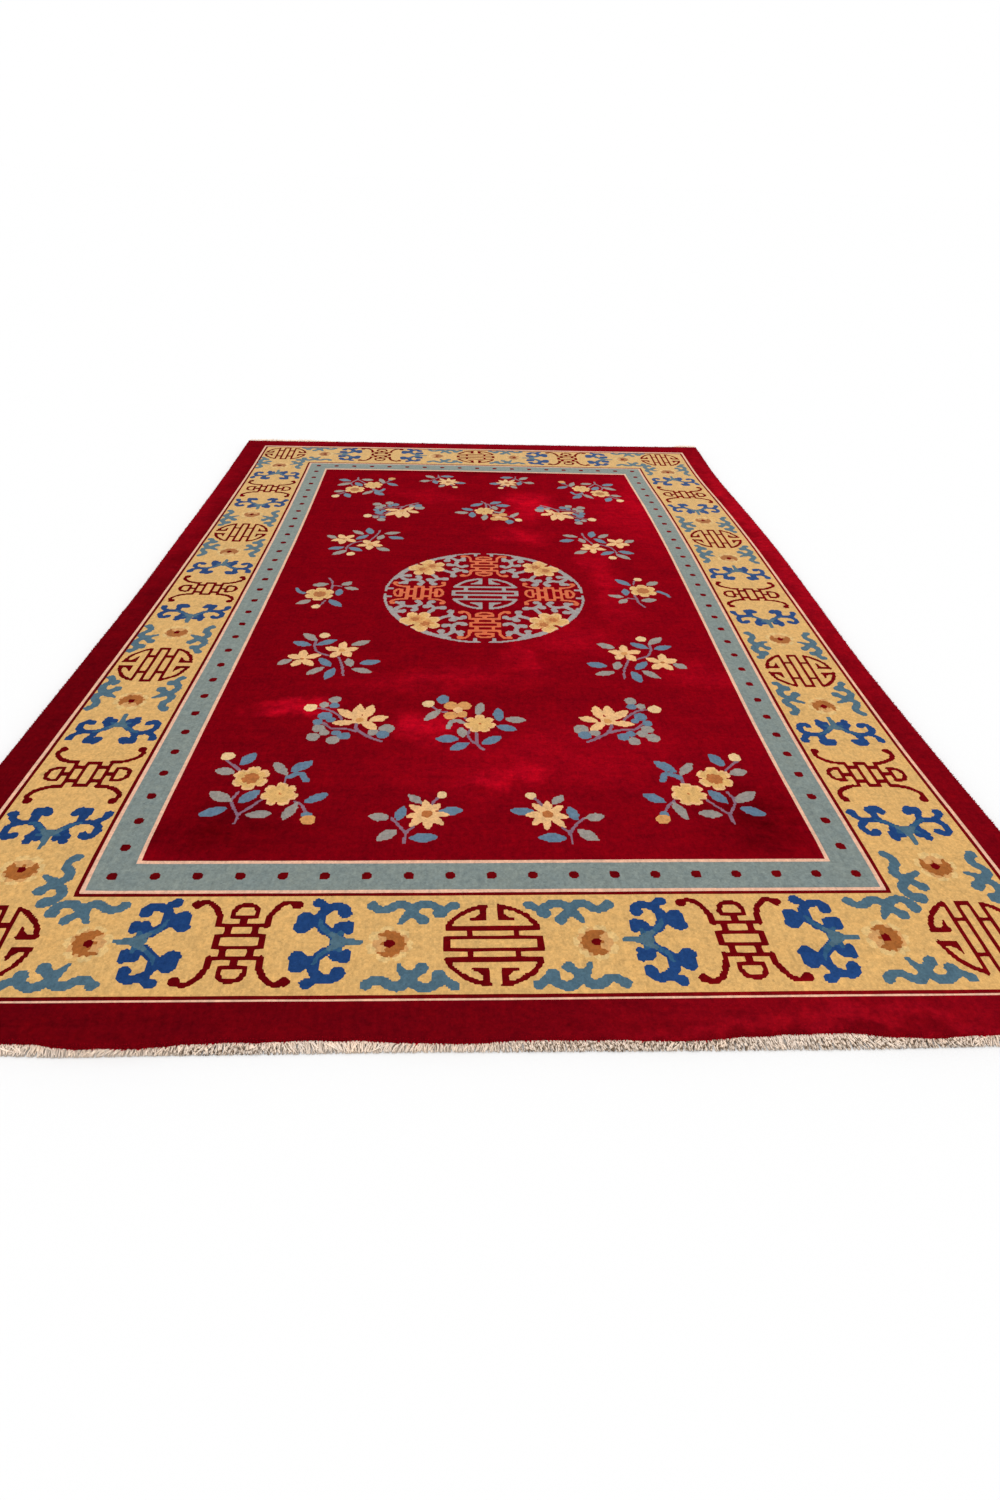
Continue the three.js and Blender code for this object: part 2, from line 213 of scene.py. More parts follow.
# Flower sprays, each around its own middle.
SPRAYS = {
    "corner": (
        ("line", "stem", [(-11.2, -32.2), (-11.2, -25.5), (-17, -14.4), (-15, -6)], 1.6),
        ("line", "stem", [(-11.2, -25.5), (-6, -19), (-1.7, -12.9)], 1.6),
        ("line", "stem", [(-28.7, 22), (-25, 19), (-19.4, 13.5)], 1.6),
        ("line", "stem", [(8.2, 8.6), (7.9, 1.8)], 1.6),
        ("line", "stem", [(16.4, -13.5), (20.5, -17.5), (23.5, -22.7)], 1.6),
        ("leaf", "leaf_blue", (-20, 17.2), (-13.6, 29.8), 7.4),
        ("leaf", "leaf_sage", (-21, 10.4), (-32.6, 13.2), 6.7),
        ("leaf", "leaf_sage", (8.2, 8.6), (-1.7, 20.9), 6.1),
        ("leaf", "leaf_blue", (9.4, 11.7), (20.7, 22.1), 7.4),
        ("line", "leaf_blue", [(9.4, 6.7), (13, 9.6), (16.5, 9.6), (19.5, 3.7)], 3.4),
        ("leaf", "leaf_sage", (-17, -14.7), (-31.1, -5.8), 7.4),
        ("leaf", "leaf_blue", (-13, -16), (-4.1, -4.3), 7.4),
        ("leaf", "leaf_blue", (-17.6, -19.6), (-31.4, -25.5), 7.4),
        ("leaf", "leaf_sage", (-7.2, -25.5), (6.3, -23.9), 6.7),
        ("leaf", "leaf_blue", (21, -15.3), (33.6, -7.4), 6.7),
        ("leaf", "leaf_sage", (18, -14.4), (12.5, -29.4), 6.1),
        ("lobes", "bud", [(-28.7, 26.1, 4)]),
        ("lobes", "leaf_blue", [(24.6, -25.5, 2.8)]),
        ("lobes", "petal_orange", [(25.8, -29, 3.9)]),
        ("head", "petal", -11.2, 5.8, 10.8, 6, 5.3),
        ("head", "petal", 7.2, -8, 10.4, 7, 1.1),
    ),
    "star": (
        ("line", "stem", [(-7.2, -20.8), (-6.2, -13.6), (-2.9, -8.3)], 1.6),
        ("line", "stem", [(-6.2, -13.6), (-10, -8), (-14.9, -1.6)], 1.6),
        ("line", "stem", [(11.3, 17.3), (8, 13), (5.8, 8.4)], 1.6),
        ("leaf", "leaf_sage", (0.7, 9.9), (-6.7, 18), 5.3),
        ("leaf", "leaf_blue", (10, 3.2), (23.5, 5.1), 6.7),
        ("leaf", "leaf_blue", (-11.5, -3.8), (-8.2, 8.4), 6),
        ("leaf", "leaf_sage", (-15.4, -1.6), (-27, 0.3), 6.7),
        ("leaf", "leaf_sage", (-10.8, -10.3), (-21.1, -19.2), 7),
        ("leaf", "leaf_blue", (-4.8, -17.2), (10.3, -16.3), 7),
        ("star", "petal", (3.8, 1.7), [(2.9, 13.5), (11.3, 10.8), (16.1, 1.2), (13, -7.4), (5, -11.2),
                                       (-5.3, -8.8), (-7.4, -0.7), (-6, 9.2)], 4.6),
        ("lobes", "umber", [(3.8, 1.7, 3)]),
        ("lobes", "bud", [(11.3, 17.3, 2.9)]),
    ),
    "magnolia": (
        ("line", "stem", [(3.2, -2.1), (3.2, -10.1), (9, -17.6), (19.7, -24.8)], 2.0),
        ("line", "stem", [(3.7, -14.4), (0.5, -12.8), (-8, -11.2), (-11.7, -11.2), (-17, -5.3)], 1.8),
        ("line", "stem", [(-6.4, -1.3), (-10, 4), (-17, 9.6), (-24, 11)], 1.6),
        ("line", "stem", [(12, -19), (17, -15), (20, -12)], 1.6),
        ("lobes", "bud", [(-28, 11.7, 4.3)]),
        ("lobes", "leaf_sage", [(-13.9, 21.3, 4), (-19.7, 14.9, 3.2), (-19.2, -11.2, 4), (-21.3, -20.3, 4.2),
                                (-15, -16, 3.2), (-9, -23.5, 4), (21.9, -11.2, 4.8), (13.9, -15, 3.2)]),
        ("lobes", "leaf_blue", [(-13.3, 14.4, 3.2), (-17.6, 2.7, 4.3), (-13, -2.1, 2.7), (-20.8, -4.3, 3.2),
                                (-8, -16, 3), (-2.7, -19.2, 3.7), (20.3, -17.6, 4)]),
        ("leaf", "petal", (2.7, 0.5), (2.4, 16), 7),
        ("leaf", "petal", (8, -0.5), (10.7, 16), 7),
        ("leaf", "petal", (10, -2.7), (22, 2), 6.6),
        ("leaf", "petal", (2.6, -1), (-11, 10.6), 7),
        ("leaf", "petal", (2, -4.3), (-12.4, -5.8), 6.2),
        ("leaf", "petal", (6, -2.7), (16.2, -13), 6.6),
        ("lobes", "petal", [(4.5, -1.5, 4.6)]),
        ("lobes", "petal_orange", [(4.5, -2, 2.6)]),
    ),
    "middle": (
        ("line", "stem", [(6.7, -29.3), (3, -24), (2.3, -18), (2.3, -12.3)], 1.8),
        ("line", "stem", [(0.6, -22.3), (-2.6, -15), (-1.8, -8.8)], 1.6),
        ("line", "stem", [(-8.8, 9.4), (-4.1, 3.5)], 1.6),
        ("line", "stem", [(-26, 18), (-21, 12), (-16, 11)], 1.6),
        ("leaf", "leaf_blue", (-20, 20), (-18.8, 31.4), 8),
        ("leaf", "leaf_sage", (-20.2, 14.1), (-30.2, 0.6), 6),
        ("line", "leaf_sage", [(-6.5, -0.6), (-10, 1.6), (-13.5, -0.6), (-15, -6.7)], 3.2),
        ("leaf", "leaf_sage", (-5.3, -17), (-7.6, -5.3), 5.9),
        ("leaf", "leaf_blue", (-7.6, -18.2), (-22.9, -18.2), 8),
        ("leaf", "leaf_blue", (-1.8, -22.3), (-14.1, -29.3), 7),
        ("leaf", "leaf_blue", (5, -24), (18.2, -14.7), 7),
        ("leaf", "leaf_sage", (2.9, 7.6), (5.9, 22.3), 6.5),
        ("leaf", "leaf_blue", (16.4, 0.6), (16.4, 15.8), 7),
        ("leaf", "leaf_sage", (19.9, 3.5), (34, 2), 7),
        ("leaf", "leaf_blue", (14.7, -4.1), (27.3, -8.8), 7),
        ("lobes", "petal_orange", [(-14.1, 18.2, 4.5), (-5.3, 18.2, 4.5), (-13.8, 7, 4.3), (-6.4, 8.4, 3.6)]),
        ("lobes", "petal", [(-9.4, 13.5, 3.2)]),
        ("lobes", "bud", [(-28.4, 20.5, 3.9)]),
        ("head", "petal", 4.4, -2.1, 10.2, 7, 1.2),
    ),
    "two stars": (
        ("line", "stem", [(-14, 20.7), (-14, 12.9), (-10.1, 3.9), (-2.2, -1.1)], 1.7),
        ("line", "stem", [(5, -2.8), (9.5, -15.1), (11.8, -28)], 1.7),
        ("leaf", "leaf_sage", (-13.2, 20.2), (-25.2, 31.6), 7),
        ("leaf", "leaf_blue", (-16.2, 13.4), (-30.5, 18.5), 7),
        ("leaf", "leaf_blue", (-12.9, 14), (0.8, 22.4), 7),
        ("leaf", "leaf_sage", (12, 14), (24.9, 21), 7),
        ("leaf", "leaf_sage", (-25.8, -6.7), (-35.3, -14), 6.5),
        ("leaf", "leaf_blue", (2.2, -16.2), (-8.4, -4.5), 6.5),
        ("leaf", "leaf_sage", (-2.2, -16.8), (-13.4, -27.2), 6.5),
        ("leaf", "leaf_blue", (4.5, -17.9), (0.6, -33.3), 7.3),
        ("leaf", "leaf_sage", (15.7, -16.2), (11.8, -4.5), 6.5),
        ("leaf", "leaf_blue", (20.7, -11.8), (35.3, -7.8), 7.5),
        ("leaf", "leaf_sage", (16.2, -19), (31.1, -23.2), 6.5),
        ("star", "petal", (-19, -5.6), [(-20.7, 6.7), (-7.3, 0.3), (-10.6, -15.4), (-24.4, -16.5),
                                        (-30.2, -1.1)], 6.4),
        ("star", "petal", (6.2, 6.7), [(5.9, 19.3), (17.6, 9.8), (14, -2.2), (-0.6, -3.9),
                                       (-6.2, 10.4)], 6.4),
        ("lobes", "petal_orange", [(6.2, 6.7, 2.6)]),
        ("lobes", "umber", [(-19, -5.6, 1.6)]),
        ("lobes", "bud", [(-9.2, 28.6, 3.8)]),
    ),
    "side": (
        ("line", "stem", [(-2.5, 32.6), (1.6, 24.6), (2.2, 17.6), (3, 11)], 1.8),
        ("line", "stem", [(2.2, 17.6), (6, 17.4), (9.8, 16)], 1.6),
        ("line", "stem", [(0.7, -10), (-1.6, -18.2)], 1.6),
        ("line", "leaf_blue", [(-18.4, 2.9), (-22.6, 6), (-25.7, 12.3)], 4.0, 2.4),
        ("leaf", "leaf_sage", (-0.8, 20.5), (-14, 17.9), 7.5),
        ("leaf", "leaf_sage", (-10, -9.4), (-21, -17), 7),
        ("leaf", "leaf_blue", (3.3, -8.2), (14.8, -21.1), 7),
        ("leaf", "leaf_blue", (9.8, 11.1), (9.2, -1.8), 6.5),
        ("leaf", "leaf_sage", (9.8, 17.6), (18, 25.8), 6.5),
        ("leaf", "leaf_sage", (12.1, 14.1), (25, 10.9), 6),
        ("lobes", "bud", [(-4.9, -21.1, 3.5)]),
        ("head", "petal", -5.5, 1.5, 12, 6, 5.8),
    ),
}
# Which spray grows where: middle, turn, and -1 where it is mirrored.
SPRAY_PLACES = (
    ("corner", -119.5, -249.5, 0, 1), ("corner", 119, -249.5, 0, -1),
    ("corner", -120, 250, 180, -1), ("corner", 119, 249.5, 180, 1),
    ("star", -36, -275.5, 0, 1), ("star", 35.5, -276, 0, -1),
    ("star", -36.5, 273, 180, -1), ("star", 35.5, 273, 180, 1),
    ("magnolia", -82, -183.5, 0, 1), ("magnolia", 81.5, -183.5, 0, -1),
    ("magnolia", -83, 182, 180, -1), ("magnolia", 81.5, 180, 180, 1),
    ("middle", -7.5, -187, 0, 1), ("middle", 8, 184.5, 180, 1),
    ("two stars", -107, -104.5, 0, 1), ("two stars", 107, -106, 0, -1),
    ("two stars", -107.5, 105.5, 180, -1), ("two stars", 106.5, 104, 180, 1),
    ("side", -125.5, -8, 0, 1), ("side", 126, 8, 180, 1),
)

# How far the knotter's hand strays from the drawn line, and over how many knots it does so.
HAND_SLIP = 0.32
HAND_SPACING = 5

# How the chart is cut into triangles, in knots: stops along the outside and stops inside.
BORDER_STOP = 4
INNER_STOP = 12
# How the knots' steps are rounded: share of the way to the neighbours, the most of it in knots, and the
# common and the largest stray of a corner.
CORNER_SHARE = 0.42
CORNER_PULL = 0.3
CORNER_STRAY = (0.06, 0.1)
# A triangle whose doubled area falls under this many square knots gets its drawn corners back.
LEAST_AREA = 0.02
# The sheet laid out for baking: the free margin round the pile in mm, and how many times smaller its back
# lies on it.
BAKE_MARGIN = 30
BACK_SMALLER = 2.2

# How strongly each finish shows single flecks, streaks along the pile and abrash, the slow bands of the dye.
WOOL_GRAIN = {"Fleck": 0.34, "Streak": 0.18}
BACK_GRAIN = {"Fleck": 0.14, "Streak": 0.04, "Abrash": 0.08}
TUFT_GRAIN = {"Fleck": 0.45, "Streak": 0.1, "Abrash": 0.1}
COTTON_GRAIN = {"Fleck": 0.16, "Streak": 0.06, "Abrash": 0.07}
# The wool's abrash in the pale dyes, and how much more of it the deep reds show.
WOOL_ABRASH = (0.06, 0.14)
# A dye with less green than the first value counts as deep red, and one with more than the second as pale.
DEEP_TO_PALE = (0.01, 0.1)
# How much of the nap's painted sheen the pale dyes show.
PALE_NAP = 0.12
# Painted light on the tufts: how much brighter they are made at their foot and at their top.
TUFTS_LIT = (2.2, 1.25)
# Painted shade on the cotton, darkest on the lowest strands: heights in m between which it grows lighter,
# and its lightness at each.
COTTON_LIT = (0.0008, 0.0042, 0.6, 1.12)
# Bumps: strength and height in m.
PILE_BUMP = (0.5, 0.0012)
BACK_BUMP = (0.8, 0.0006)

# Linear colours of the cotton.
COTTON = (0.85, 0.71, 0.585)
SOILED_COTTON = (0.22, 0.15, 0.10)
# How much the cotton is soiled all over.
SOILED_ALL_OVER = 0.15
# Where the near and far ends are soiled more, from one side to the other in m.
SOILED_SPANS = ((-0.42, -0.28), (0.02, 0.36), (0.4, 0.66))
# Over how many metres the soil fades at a span's ends, and how far from the rug's middle along it starts
# and is full.
SOIL_FADES = 0.04
SOILED_FROM = (1.376, 1.386)
# The strands: length against width, and thickness against width.
STRAND_ASPECT = 10.0
STRAND_FLATNESS = 0.9
# Bends of the strands: turns, sway and lift in widths, and the tip's share of the width.
STRAND_BENDS = (
    (3.0, 0.6, 0.0, 0.6), (5.2, -0.8, 0.0, 0.8), (4.1, 1.0, 0.12, 0.6),
    (6.5, -0.5, 0.0, 0.75), (2.2, -1.1, 0.2, 0.7),
)
# Layers of strands: share of the count, height in m, least and most share of the reach, splay and tilt in
# radians. The last one is the end web, tight and short.
FRINGE_LAYERS = (
    (1.0, 0.00105, 0.92, 1.0, 0.06, 0.0), (1.0, 0.0022, 0.84, 1.0, 0.12, 0.01),
    (0.6, 0.0033, 0.5, 0.97, 0.24, 0.03), (0.9, 0.0042, 0.34, 0.46, 0.03, 0.0),
)
# How deep the strands' roots lie under the pile's end, and how far the first and last ones stand from its
# sides, in mm.
ROOT_DEPTH = 6.0
ROOT_INSET = 2.4
# How near the corners the tufts and the leaning strands come, and over how many mm the strands there grow
# straight.
SIDE_MARGIN = 4
SIDE_STRAIGHT = 30
# The far fringe's ends stand up a little: from which place across in mm, over how many mm, how many radians.
RAISED_ENDS = ((-510, -130, 0.5), (790, 70, 0.5))
# Waves of the pile's edge at both ends: depth and length in mm.
EDGE_WAVES = ((0.6, 13.0), (0.5, 4.7))
# How far the pile's ends reach past their plain lines in mm, the near one by place across.
NEAR_EDGE = (
    (-900, -1), (-640, -4), (-605, -2), (-580, 4), (-555, 5.5), (-530, 5), (-505, 4.5), (-480, 3.5),
    (-455, 2), (-430, 0), (-400, -2), (-375, -3), (-350, -2), (-300, -1.5), (-250, -3), (-170, -2),
    (-145, 1), (-120, 2.5), (-95, 3.5), (-65, 4), (-15, 4.5), (10, 0.5), (40, 1), (100, 0), (170, 1),
    (225, 3.5), (250, 2), (280, 2.5), (305, 0), (370, -2), (410, -3), (470, -3.5), (500, -1.5), (525, 1),
    (575, 1.5), (605, 1), (640, -1.5), (900, -1),
)
FAR_EDGE = -1.5
# How far into the pile the edge's waves are felt, in mm.
EDGE_BLEND = 40.0
# How far the strands stop short of the CAD's cut line, at the near end by place across, in mm.
NEAR_TRIM = (
    (-640, 6), (-575, 2.5), (-420, 3.5), (-90, 4), (60, 2.5), (330, 1), (490, 0), (570, 1.5), (660, 2.5),
)
FAR_TRIM = 1.5
# Rows of tufts on the sheared side: inset in mm, share of the height, and how they lean out and up.
TUFT_ROWS = (
    (1.6, 0.22, 1.0, 0.1), (0.9, 0.42, 1.0, 0.2), (1.1, 0.62, 1.0, 0.6), (2.8, 0.84, 0.7, 1.0),
)
# How far the edges of the painted sheen patches stray, in metres.
PATCH_STRAY = 0.22
# Patches of painted sheen where brushing laid the nap the other way, in metres from the chart's middle:
# place, half sizes, turn in degrees, strength.
BRUSHED_SHEEN_PATCHES = (
    (0.18, 0.64, 0.11, 0.17, -10, 1.3), (0.14, 0.38, 0.11, 0.08, 0, 1.0), (0.47, 0.58, 0.15, 0.38, 10, 0.5),
    (0.34, 0.08, 0.06, 0.34, 4, 0.75), (0.22, -0.28, 0.16, 0.11, -20, 0.6),
    (0.09, -0.38, 0.07, 0.06, 0, 0.8), (-0.12, -0.67, 0.10, 0.08, 0, 1.4),
    (-0.40, -0.585, 0.10, 0.05, 0, 1.4), (0.04, -0.84, 0.09, 0.035, 5, 0.85),
    (-0.10, -0.47, 0.24, 0.06, 5, 0.6), (-0.18, 0.72, 0.18, 0.07, -20, 0.5),
    (0.49, -0.45, 0.11, 0.08, 0, 0.5), (0.20, -0.74, 0.24, 0.15, 0, 0.35), (0.90, 0.30, 0.08, 1.1, 0, 1.0),
    (0.1, 1.34, 0.9, 0.08, 0, 0.3), (-0.55, 1.34, 0.4, 0.08, 0, 0.4), (0.55, 0.75, 0.06, 0.30, 0, 0.6),
    (-0.90, 0.55, 0.09, 0.9, 0, 0.5), (0.5, -1.32, 0.5, 0.07, 0, 0.4), (0.45, -1.37, 0.4, 0.02, 0, 0.7),
    (0.87, 0.85, 0.05, 0.5, 0, 0.5), (-0.45, -0.97, 0.18, 0.10, 0, -0.3),
    (0.47, -0.95, 0.16, 0.12, 0, -0.5), (0.0, 0.99, 0.55, 0.03, 0, -0.5), (0.0, -0.8, 0.3, 0.12, 0, 0.3),
    (-0.1, 1.305, 0.3, 0.012, 0, 0.8),
)
# Painted sheen of grazing light on the far pile, which pales the cooler dyes: its tone, how much of it
# shows at the far end, and between which places along the rug, in m, it grows.
SHEEN_TONE = (0.50, 0.50, 0.38)
FAR_SHEEN_SHARE = 0.14
SHEEN_ALONG = (-1.1, 1.35)
# Painted sheen, as if lit from the right and behind: how much lighter the red wool is made with each metre
# to the right and to the far end.
RIGHT_LIGHTER = 0.22
FAR_LIGHTER = 0.08
# Even painted shade for the pile's self-shadowing: the share of the light that clipped wool gives back,
# beside its yarn's own colour.
PILE_SELF_SHADE = 0.88

# The stage: the floor's half width in m and its grey, the even light, the key light's strength, softness in
# degrees and direction.
FLOOR_REACH = 60.0
FLOOR_TONE = 0.815
WORLD_LIGHT = 1.0
KEY_LIGHT = 0.9
KEY_SOFTNESS = 50
KEY_FROM = (-0.5, -0.7, 1.1)
# The camera's place in mm from the chart's middle, its angles in degrees, and its focal length in pixels of
# an upright picture this high. The sensor's longer side is in mm.
CAMERA = {"place": (-50.0, -1967.8, 940.3), "pitch": 36.438, "yaw": 3.288, "roll": 2.124, "focal": 795.8}
PICTURE_HEIGHT = 1500
SENSOR = 36


def dye(name, what, red, green, blue):
    """A yarn's colour as a property, from its 0 to 255 values on the screen."""
    return bpy.props.FloatVectorProperty(
        name=name,
        description=what,
        subtype="COLOR_GAMMA",
        size=3,
        min=0,
        max=1,
        default=(red / 255, green / 255, blue / 255),
    )


def length(name, what, millimetres):
    """A length as a property, from its value in millimetres."""
    metres = millimetres / 1000
    return bpy.props.FloatProperty(name=name, description=what, unit="LENGTH", min=0, default=metres)


def count(name, what, value):
    return bpy.props.IntProperty(name=name, description=what, min=1, default=value)


class RugYarns(bpy.types.PropertyGroup):
    """The dyed wools of the pile."""

    outer_red: dye("Outer red", "Plain band outside the border", 114, 5, 16)
    field_red: dye("Field red", "Plain ground of the field and the medallion", 128, 3, 17)
    gold: dye("Gold", "Ground of the wide border", 217, 171, 106)
    slate: dye("Slate", "Guard band with the dots", 128, 138, 134)
    cream: dye("Cream", "Thin lines beside the guard and the border", 231, 182, 154)
    maroon: dye("Maroon", "Dots, thin lines and badges", 108, 7, 13)
    deep_blue: dye("Deep blue", "Large scrolls of the border", 34, 66, 117)
    mid_blue: dye("Mid blue", "Inner line of the large scrolls", 50, 88, 121)
    teal: dye("Teal", "Tendrils and scroll roots of the border", 78, 105, 120)
    halo: dye("Halo", "Pale ring round the border's flowers", 222, 184, 122)
    blush: dye("Blush", "Soft edge of the border's flowers", 206, 154, 98)
    amber: dye("Amber", "Ragged flowers of the border", 164, 98, 48)
    leaf_blue: dye("Leaf blue", "Darker leaves of the sprays", 98, 122, 142)
    leaf_sage: dye("Leaf sage", "Paler leaves of the sprays", 148, 141, 134)
    stem: dye("Stem", "Twigs of the sprays", 132, 102, 118)
    petal: dye("Petal", "Flower heads", 228, 180, 126)
    petal_orange: dye("Petal orange", "Shaded petals and hearts", 208, 148, 88)
    umber: dye("Umber", "Brown hearts of the flowers", 178, 106, 58)
    bud: dye("Bud", "Pale buds", 222, 188, 138)
    badge_orange: dye("Badge orange", "Badges of the medallion", 212, 102, 62)
    ring_slate: dye("Ring slate", "Ring, tendrils and roundel of the medallion", 158, 150, 148)


YARNS = tuple(RugYarns.__annotations__)


class RugSizes(bpy.types.PropertyGroup):
    """The sizes of the pile's edge and the fringes."""

    strands: count("Strands", "Cotton strands laid side by side at each end", 1050)
    strand_width: length("Strand width", "Width of one plied strand", 1.9)
    fringe_seed: count("Fringe seed", "Seed of the strands' lean and length", 5)
    tuft_length: length("Tuft length", "Length of one wool tuft at the sheared side", 2.6)
    tuft_width: length("Tuft width", "Width of one wool tuft at its root", 2.6)
    tuft_seed: count("Tuft seed", "Seed of the tufts' lean and length", 8)
    floor_drop: length("Floor drop", "How far the floor lies under the rug's back", 0.2)


def table_at(values, share):
    """A smooth curve through equally spaced values, from share 0 at the first to 1 at the last."""
    v = np.asarray(values, float)
    v = np.concatenate([[2 * v[0] - v[1]], v, [2 * v[-1] - v[-2]]])
    place = np.clip(share, 0, 1) * (len(values) - 1)
    row = np.minimum(place.astype(int), len(values) - 2)
    t = place - row
    a, b, c, d = (v[row + step] for step in range(4))
    return b + 0.5 * t * (c - a + t * (2 * a - 5 * b + 4 * c - d + t * (3 * (b - c) + d - a)))


def woven_mm(u, v):
    """Where points of the flat chart lie in the woven rug, in millimetres from the chart's middle."""
    side = (u + HALF_ACROSS) / (2 * HALF_ACROSS)
    row = (v + HALF_ALONG) / (2 * HALF_ALONG)
    rows = {name: table_at(values, row) for name, values in WEAVING_ROWS.items()}
    near, far = (table_at(END_COLUMNS[name], side) for name in ("near_short", "far_long"))
    edge = np.where(u < 0, -rows["left_edge"], rows["right_edge"])
    at_edge = np.clip((np.abs(u) - HALF_ACROSS + OUTER_BAND) / OUTER_BAND, 0, 1)
    at_end = np.clip((np.abs(v) - HALF_ALONG + OUTER_BAND) / OUTER_BAND, 0, 1)
    x = u + rows["left_across"] * (1 - side) + rows["right_across"] * side + edge * at_edge
    y = v + rows["left_along"] * (1 - side) + rows["right_along"] * side + np.where(v < 0, near, far) * at_end
    return x, y


def frame_shift():
    """From the chart's middle to the frame's origin, in metres, so that the weaving meets its solid."""
    walk = np.linspace(-1, 1, 401)
    across, along = HALF_ACROSS * walk, HALF_ALONG * walk
    left, right = (woven_mm(np.full_like(along, s * HALF_ACROSS), along)[0] for s in (-1, 1))
    near, far = (woven_mm(across, np.full_like(across, s * HALF_ALONG))[1] for s in (-1, 1))
    low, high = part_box("pile_carpet")
    middle = np.array([left.min() + right.max(), near.min() + far.max()]) / 2000
    return (np.array(low)[:2] + np.array(high)[:2]) / 2 - middle


SHIFT = frame_shift()


def woven(u, v):
    """Where points of the chart lie in the frame, in metres."""
    x, y = woven_mm(u, v)
    return x / 1000 + SHIFT[0], y / 1000 + SHIFT[1]


def edge_reach(u, end):
    """How far the pile reaches past its plain end line in mm, at the near (-1) or the far (1) end."""
    waves = sum(depth * np.sin(u / long + 1.3 * np.sin(u / (2.3 * long))) for depth, long in EDGE_WAVES)
    return waves + np.where(end < 0, np.interp(u, *zip(*NEAR_EDGE)), FAR_EDGE)


def pile_height(u, v):
    """The height of the clipped pile in metres, which swells a little from place to place."""
    height = PILE_TOP
    for rise, across, along, start in SWELLS:
        height = height + rise * np.sin(math.pi * (u / HALF_ACROSS * across + v / HALF_ALONG * along) + start)
    return height / 1000


class Place:
    """Where a motif is drawn: its middle, turn and scale or pair of scales, mirrored where flip is -1."""

    def __init__(self, x=0.0, y=0.0, turn=0.0, scale=1.0, flip=1, within=None, swap=False):
        c, s = math.cos(math.radians(turn)), math.sin(math.radians(turn))
        self.matrix = np.array([[c, -s], [s, c]]) @ np.diag(np.multiply(scale, (flip, 1.0)))
        self.origin = np.array([x, y], float)
        if swap:
            self.matrix = self.matrix[:, ::-1]
        if within is not None:
            self.origin = within.origin + within.matrix @ self.origin
            self.matrix = within.matrix @ self.matrix
        self.scale = math.sqrt(abs(np.linalg.det(self.matrix)))

    def inside(self, x=0.0, y=0.0, **change):
        return Place(x, y, within=self, **change)

    def both_sides(self):
        """This place and its mirror image across its own x axis."""
        return self, self.inside(turn=180, flip=-1)

    def four_ways(self):
        return self, self.inside(flip=-1), *[q.inside(turn=180) for q in (self, self.inside(flip=-1))]


def smooth(points, steps=6):
    """Points along a smooth curve through the given ones."""
    p = np.array(points, float)
    if len(p) < 3:
        return p
    ends = np.vstack([2 * p[0] - p[1], p, 2 * p[-1] - p[-2]])
    out = []
    for a, b, c, d in zip(ends, ends[1:], ends[2:], ends[3:]):
        for t in np.arange(steps) / steps:
            out.append(b + 0.5 * t * (c - a + t * (2 * a - 5 * b + 4 * c - d + t * (3 * (b - c) + d - a))))
    return np.array(out + [p[-1]])


